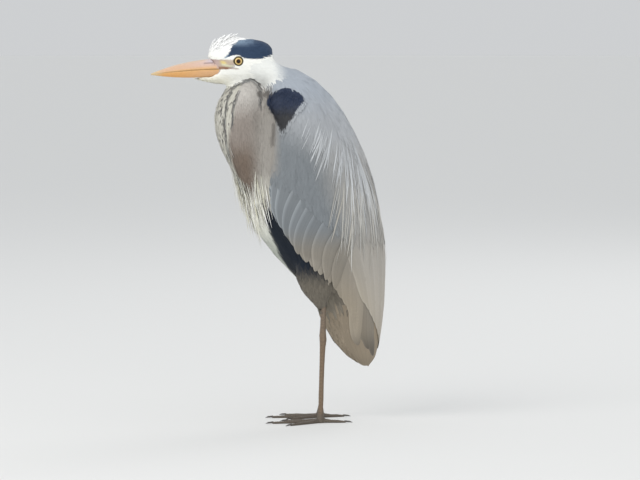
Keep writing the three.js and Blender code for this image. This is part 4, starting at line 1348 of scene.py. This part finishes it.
def coats():
    x, y, z = skinPoints.T
    group = {name: isIn(bodyGroups, name) for name in groupNames}
    fromEye = np.where(group["head"] | group["crest"], np.hypot(y - eyeCentre[1], z - eyeCentre[2]), 99)
    behindBill = y > chinFront + 5
    face = group["head"] * (fromEye > eyeBare) * (1 - bareFace(np.abs(x), y, z)) * behindBill
    throat = group["head"] & (skinNormals[:, 2] < 0.05) & (z < 606) & (y < -42) & behindBill
    patch = patchShare(np.abs(x), y, z) > 0.5
    trunk = group["body"] & ((y < 120) | (z > 235)) & ~patch
    wing = (group["wing"] & (z > np.interp(y, *smallEdge)) | group["shoulder"]) & ~patch
    thigh = group["thigh"] | group["wing"] & (z < 305) & (y < np.interp(z, *coverEdge) + 12)
    coat("feathersFace", "white_plumage", face, 7.5, rows=4, lift=(0.1, 0.24), thick=0.06, stray=0.08,
        tone=(0.99, 1, 1.0), roll=0.06, colourAt=0.7, vary=0.015)
    coat("feathersThroat", "white_plumage", throat, 13, longer=1.1, lift=(0.4, 1.8), thick=0.07, stray=0.04,
        tone=(0.98, 1, 1.0), roll=0.06, colourAt=0.7, vary=0.02, jitter=0.08)
    coat("feathersCrest", "black_plumage", group["crest"], 8, rows=4, lift=(0.1, 0.5), thick=0.08, roll=0.2)
    coat("feathersNape", "white_plumage", group["nape"] & ~patch, 8, lift=(0.12, 0.32), thick=0.07, roll=0.08,
        tone=(0.99, 1, 1.0), colourAt=0.85, wider=0.8, longer=0.68, vary=0.02)
    coat("feathersNeck", "neck_plumage", group["neck"], 9, lift=(0.2, 0.9), thick=0.09, roll=0.2,
        tone=(0.95, 1, 1.01), vary=0.03, stray=0.14, colourAt=0.6)
    coat("feathersBody", "grey_plumage", trunk, 9, lift=(0.12, 0.42), thick=0.08, roll=0.12, wider=0.5,
        longer=1.1, tone=(0.97, 1, 1.01), vary=0.03, over=True, colourAt=0.7)
    black = {"thick": 0.1, "colourAt": 0.7, "finish": "black"}
    coat("feathersPatch", "black_plumage", patch, 10, lift=(0.2, 1.0), longer=0.7, wider=0.65, stray=0.06,
        **black)
    coat("feathersPatchTop", "black_plumage", patch & (z > 548), 16, lift=(1.0, 1.5), longer=0.55, wider=0.55,
        stray=0.04, jitter=0.06, shape=(0.95, 1.0, 1.0, 0.85, 0.5), **black)
    coat("feathersWing", "grey_plumage", wing, 8, lift=(0.12, 0.38), thick=0.08, roll=0.1, tone=(0.97, 1, 1.01),
        vary=0.025, wider=0.62, over=True, shape=(0.5, 0.9, 1.0, 0.9, 0.6), colourAt=0.6)
    coat("feathersTail", "flight_feathers", group["tail"] & (z > 118), 4, lift=(0.2, 0.6), thick=0.14,
        longer=0.7, wider=0.7, finish="quill")
    coat("feathersThigh", "neck_plumage", thigh, 7, lift=(0.15, 0.8), thick=0.11, roll=0.25)


coats()


def plumeRoots(spots, leans):
    # Roots of plumes at the skin's nearest places to the spots; leans say how they hang, seen from the side.
    found = [skinTree.find_nearest(spot) for spot in spots.tolist()]
    face = np.array([f[2] for f in found])
    normal = unit(skinNormals[skinCorners[face, 0]])
    ways = np.stack([leans[:, 0] * 0, leans[:, 0], leans[:, 1]], 1)
    return {
        "place": np.array([f[0] for f in found]), "normal": normal, "way": alongSkin(ways, normal),
        "hang": unit(ways), "spot": skinSpots[skinLoops[face, 0]],
    }


plumeLook = {  # what plumes look like where their own dictionary says nothing else
    "rows": 10, "follow": 0.12, "free": 0.0, "stray": 0.05, "thick": 0.22, "over": False, "fullAt": 0.95,
    # tone: darker at the root as painted shade, lighter towards the tip
    "shape": (0.35, 0.75, 1.0, 1.0, 0.8, 0.45), "tone": (0.8, 1.0, 1.06), "roll": 0.35, "vary": 0.06,
    "finish": "soft",
}


def plumes(name, roots, own, colour, length=None, width=None, replaced=()):
    count = len(colour)
    length = drawn(*own["length"], count) if length is None else length
    width = drawn(*own["width"], count) if width is None else width
    low, high = own["lift"]

    def height(shares):
        rise = (high - low) * shares ** 0.7 * np.exp(chance.normal(0, 0.2, (count, 1)))
        return (low + rise) * ramp(0, 0.15, shares) + 0.2
    layDown(name, roots, length, width, lambda places: colour, height, {**plumeLook, **own}, replaced)


scapulars = {  # long narrow plumes of the shoulders, which hang over the wings
    "front": (64, 520), "rear": (168, 470), "spread": (6, 11), "each": 84, "width": (0.9, 2.7),
    "length": ([0, 0.5, 1], [36, 76, 104]), "lengthVary": 0.14,
    "lean": ([0, 0.35, 0.65, 1], [-0.56, -0.44, -0.12, 0.04]), "leanVary": 0.05, "clumps": 40,
    # A second row hangs further down over the wings, and a last set covers the middle of the back.
    "lower": 52, "lowerPlace": (112, 440), "lowerRun": (66, -6), "lowerSpread": (5, 30), "lowerFrom": 0.55,
    "lowerLength": 92, "lowerVary": 0.26,
    "back": 62, "backAngles": (128, 177), "backHeights": (396, 482), "backLength": (74, 140),
    "grey": 0.75, "greyGain": 1.2, "browner": (1.02, 0.97, 0.88),
    "lift": (0.5, 1.3), "over": True, "tone": (0.9, 1.0, 1.03), "vary": 0.09,
}


def scapularPlumes():
    own, count, low, back = scapulars, scapulars["each"], scapulars["lower"], scapulars["back"]
    share = (np.arange(count) + drawn(0, 1, count)) / count
    y, z = (front + (rear - front) * share + chance.normal(0, spread, count)
        for front, rear, spread in zip(own["front"], own["rear"], own["spread"]))
    length = np.interp(share, *own["length"])
    lowShare = (np.arange(low) + drawn(0, 1, low)) / low
    lowY, lowZ = (start + run * lowShare + chance.normal(0, spread, low)
        for start, run, spread in zip(own["lowerPlace"], own["lowerRun"], own["lowerSpread"]))
    y, z = np.concatenate([y, lowY]), np.concatenate([z, lowZ])
    share = np.concatenate([share, own["lowerFrom"] + (1 - own["lowerFrom"]) * lowShare])
    length = np.concatenate([length, own["lowerLength"] * np.exp(chance.normal(0, own["lowerVary"], low))])
    length = length * np.exp(chance.normal(0, own["lengthVary"], len(length)))
    clump = chance.normal(0, own["leanVary"], own["clumps"])[(share * (own["clumps"] - 1)).astype(int)]
    lean = np.interp(share, *own["lean"]) + clump
    angles = np.concatenate([[angleAt(*spot) for spot in zip(y, z)], drawn(*own["backAngles"], back)])
    z = np.concatenate([z, drawn(*own["backHeights"], back)])
    length = np.concatenate([length, drawn(*own["backLength"], back)])
    lean = np.concatenate([lean, np.full(back, own["lean"][1][-1])])
    left = onBody(angles, z)
    spots = np.concatenate([left, left * (-1, 1, 1)])
    roots = plumeRoots(spots, np.tile(np.stack([lean, -np.ones(len(lean))], 1), (2, 1)))
    narrow, wide = own["width"]
    width = narrow + (wide - narrow) * chance.random(len(spots)) ** 2
    grey = greyPlumage(spots[:, 1], spots[:, 2]) * own["greyGain"]
    colour = layered(np.repeat([tones["plume"]], len(spots), 0), (grey, drawn(0, own["grey"], len(spots))))
    colour = mix(colour, colour * own["browner"], fall(400, 470, spots[:, 2]))
    plumes("plumesScapular", roots, own, colour, np.tile(length, 2), width)


breast = {
    "each": 270, "turn": (-94, 96), "top": ([0, 22, 45, 62, 80, 105], [460, 452, 424, 424, 444, 448]), "drop": 56,
    "length": (44, 86), "width": (0.6, 1.8), "front": 34, "frontLean": (0.0, 0.14), "lean": (0.32, 0.16),
    "shorter": 0.35, "dark": 0.2, "lift": (0.8, 3.2), "rows": 9, "follow": 0.1, "stray": 0.06, "free": 0.92,
    "over": True, "tone": (0.72, 1.0, 1.12),
}
freeStrands = {
    "each": 34, "turn": (-20, 20), "heights": (398, 444), "length": (44, 72), "width": (0.9, 2.0),
    "lean": (0.03, 0.17), "clear": 0.1, "lift": (0.4, 1.2), "rows": 9, "follow": 0.0, "stray": 0.04, "free": 1.0,
    "tone": (0.7, 1.0, 1.1),
}
neckFront = {
    "each": 150, "heights": (446, 574), "turn": (-60, 44), "length": (17, 32), "width": (1.2, 2.0), "lean": 0.1,
    "white": 0.22, "lift": (0.3, 1.9), "rows": 6, "follow": 0.35, "stray": 0.1, "thick": 0.12, "free": 0.5,
}
flecks = {
    "each": 160, "heights": (436, 584), "lean": ([450, 500, 545, 584], [0.3, 0.02, -0.2, -0.5]),
    "share": (-0.9, 0.85), "farShare": 0.4, "far": -0.55, "length": (6, 11), "width": (0.9, 1.8), "paler": 2.0,
    "lift": (1.0, 1.7), "rows": 4, "follow": 0.25, "stray": 0.18, "thick": 0.1, "shape": (0.5, 1.0, 0.9, 0.45),
}


def frontRoots(z, turn, lean):
    # Roots round the folded neck, at heights and at degrees from its front; also which of them were found.
    way = np.stack([np.sin(np.radians(turn)), -np.cos(np.radians(turn)), 0 * turn], 1)
    starts = np.stack([0 * z, np.interp(z, *foldMiddle), z], 1) + way * 80
    spots = [skinTree.ray_cast(Vector(start), Vector(-w), 80)[0] for start, w in zip(starts, way)]
    keep = np.array([spot is not None for spot in spots])
    spots = np.array([tuple(spot) for spot in spots if spot is not None])
    roots = plumeRoots(spots, np.stack([lean, -np.ones(len(lean))], 1)[keep])
    roots["way"] = alongSkin(roots["way"] + spots * (0.002, 0, 0), roots["normal"])
    return roots, keep, int(keep.sum())


def breastPlumes():
    # Pale strands that hang from the bottom of the folded neck over the breast and the black flanks.
    count = breast["each"]
    turn = drawn(*breast["turn"], count)
    z = np.interp(np.abs(turn), *breast["top"]) - breast["drop"] * chance.random(count)
    ahead = drawn(0, 1, count) < 0.5 * (np.abs(turn) < breast["front"])  # these hang straight down in front
    most, less = breast["lean"]
    lean = np.where(ahead, drawn(*breast["frontLean"], count), most - less * np.abs(turn) / 90)
    roots, keep, count = frontRoots(z, turn, lean)
    short, long = breast["length"]
    length = short + (long - short) * chance.random(count) ** 1.3
    length = length * (1 - breast["shorter"] * ramp(40, 80, np.abs(turn[keep])))
    colour = layered("cream", ("white", drawn(0, 1, count) ** 0.6),
        ("neckMid", (drawn(0, 1, count) < breast["dark"]) * 0.6))
    plumes("plumesBreast", roots, breast, colour, length, replaced=["breast_plumes"])


def freePlumes():
    # A few strands that hang straight down, clear of the breast.
    count = freeStrands["each"]
    turn, z = drawn(*freeStrands["turn"], count), drawn(*freeStrands["heights"], count)
    roots, _, count = frontRoots(z, turn, drawn(*freeStrands["lean"], count))
    roots["way"] = unit(roots["hang"] + roots["normal"] * freeStrands["clear"])
    colour = layered("cream", ("white", drawn(0, 0.8, count)))
    plumes("plumesFree", roots, freeStrands, colour)


def neckPlumes():
    # Loose pale feathers down the front of the neck, whose tips stand off its outline.
    count = neckFront["each"]
    z, turn = drawn(*neckFront["heights"], count), drawn(*neckFront["turn"], count)
    roots, _, count = frontRoots(z, turn, np.full(count, neckFront["lean"]))
    colour = layered(neckColour(*roots["place"].T), ("white", drawn(0, neckFront["white"], count)))
    plumes("plumesNeck", roots, neckFront, colour)


darkRows = {
    "spacing": 2.7, "above": 2.5, "scatter": 0.45, "length": (6, 10), "width": (1.3, 2.3), "paler": 1.5,
    "lift": (0.9, 1.3), "rows": 4, "follow": 0.3, "stray": 0.22, "thick": 0.1, "shape": (0.6, 1.0, 1.0, 0.6),
}


def darkFeathers():
    # Short dark feathers laid along the dark lines of the neck, on both sides.
    turn, rise = (math.radians(cameraView[name]) for name in ("azimuth", "elevation"))
    sight = np.array([math.sin(turn), -math.cos(turn), math.tan(rise)])
    spots, ways = [], []
    for line, _ in darkLines:
        for start, end in zip(np.array(line), np.array(line)[1:]):
            steps = max(1, round(math.hypot(*(end - start)) / darkRows["spacing"]))
            for share in (np.arange(steps) + chance.random(steps)) / steps:
                place = np.array([0, *(start + (end - start) * share + (0, darkRows["above"]))])
                place = place + chance.normal(0, darkRows["scatter"], 3)
                hit = skinTree.ray_cast(Vector(place + sight * 300), Vector(-sight))[0]
                if hit is not None:
                    spots.append(tuple(hit))
                    ways.append(end - start)
    spots, ways = np.array(spots), unit(np.array(ways))
    roots = plumeRoots(np.concatenate([spots, spots * (-1, 1, 1)]), np.tile(ways, (2, 1)))
    count = len(spots) * 2
    colour = layered("streak", (np.array(tones["neckShade"]) * darkRows["paler"], drawn(0, 1, count)))
    plumes("plumesDark", roots, darkRows, colour)


def neckFlecks():
    # Short dark feathers scattered over the pale front of the neck, fewer of them on its far side.
    count = flecks["each"]
    z = drawn(*flecks["heights"], count)
    middle, half = (np.interp(z, *neckFrontEdges[edge]) for edge in ("turn", "halfWidth"))
    turn = middle + half * drawn(*flecks["share"], count)
    turn = turn * np.where(drawn(0, 1, count) < flecks["farShare"], flecks["far"], 1)
    lean = np.interp(z, *flecks["lean"]) + chance.normal(0, 0.12, count)
    roots, _, count = frontRoots(z, turn, lean)
    colour = layered("streak", (np.array(tones["neckShade"]) * flecks["paler"], drawn(0, 1, count)))
    plumes("plumesFlecks", roots, flecks, colour)


tufts = {
    "places": [(-97, 655), (-91, 661), (-84, 665), (-76, 668), (-67, 671)], "each": 9, "length": (9, 14),
    "width": (2.0, 3.2), "lift": (0.4, 4.6), "spread": 6, "along": 1.6, "round": 0.03, "upright": (0.62, 0.3),
    "rows": 7, "follow": 0.0, "stray": 0.16, "thick": 0.12, "free": 1.0, "shape": (0.7, 1.0, 1.0, 0.8, 0.5),
    "tone": (0.95, 1.0, 1.02), "vary": 0.02,
}


def crownTufts():
    # Loose tufts that stand up along the white crown.
    middle = np.repeat(np.array(tufts["places"], float), tufts["each"], 0)
    count = len(middle)
    aside = chance.normal(0, tufts["spread"], count)
    y = middle[:, 0] + chance.normal(0, tufts["along"], count)
    front, rear = tufts["upright"]
    up = front + (rear - front) * ramp(-84, -66, y)
    roots = plumeRoots(np.stack([aside, y, middle[:, 1] - tufts["round"] * aside ** 2], 1),
        np.stack([np.ones(count), up], 1))
    plumes("plumesCrown", roots, tufts, np.repeat([tones["crown"]], count, 0))


for grow in (scapularPlumes, breastPlumes, freePlumes, neckPlumes, darkFeathers, neckFlecks, crownTufts):
    grow()
crown = isIn(bodyGroups, "head") & (np.abs(skinPoints) < (12, 999, 999)).all(1)
crown = crown & (skinPoints[:, 1] < -62) & (skinPoints[:, 2] > 645)
coat("feathersCrown", "white_plumage", crown, 2.2, rows=6, longer=1.2, wider=1.3, lift=(0.3, 2.4), thick=0.12,
    stray=0.2, jitter=0.25, follow=0.15, roll=0.2, tone=(0.96, 1, 1.0), shape=(0.7, 1.0, 0.9, 0.65, 0.3),
    vary=0.02)

clawShape = {"root": 3.0, "voxel": 0.45, "smooth": 6, "paler": 1.9}  # root: how far it reaches back into its toe


def addClaws():
    names = [f"claw_{toe}_{side}" for side in sides for toe in toes]
    pieces = [copyNode(name) for name in names]
    for name, piece in zip(names, pieces):  # each is lengthened backwards, into the end of its toe
        toeLow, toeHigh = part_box(name.replace("claw", "toe"))
        points = pointsOf(piece.data)
        away = unit((points.mean(0) - np.array(toeLow + toeHigh) / 2 / mm) * (1, 1, 0))
        along = points @ away
        back = clawShape["root"] * (along.max() - along) / np.ptp(along)
        setPoints(piece.data, points - away * back[:, None])
    claws = fused(pieces, "claws", 0, clawShape["voxel"], clawShape["smooth"])
    points = pointsOf(claws.data)
    points[:, 2] = np.maximum(points[:, 2], 0)
    setPoints(claws.data, points)
    paler = np.array(tones["claw"]) * clawShape["paler"]
    paint(claws.data, layered("claw", (paler, ramp(1.5, 4.5, points[:, 2]))))
    addToBird(claws, "claw", names)


addClaws()
skin = joined([body, legs], "skin")
addToBird(skin, None, [name for group in groupNames for name in flesh[group]])
triangles = {piece.name: len(trianglesOf(piece.data)) for piece in bpy.data.objects
    if piece.type == "MESH" and piece.data.uv_layers.get("OFBake")}
print("triangles", sum(triangles.values()), "most", max(triangles.items(), key=lambda item: item[1]))
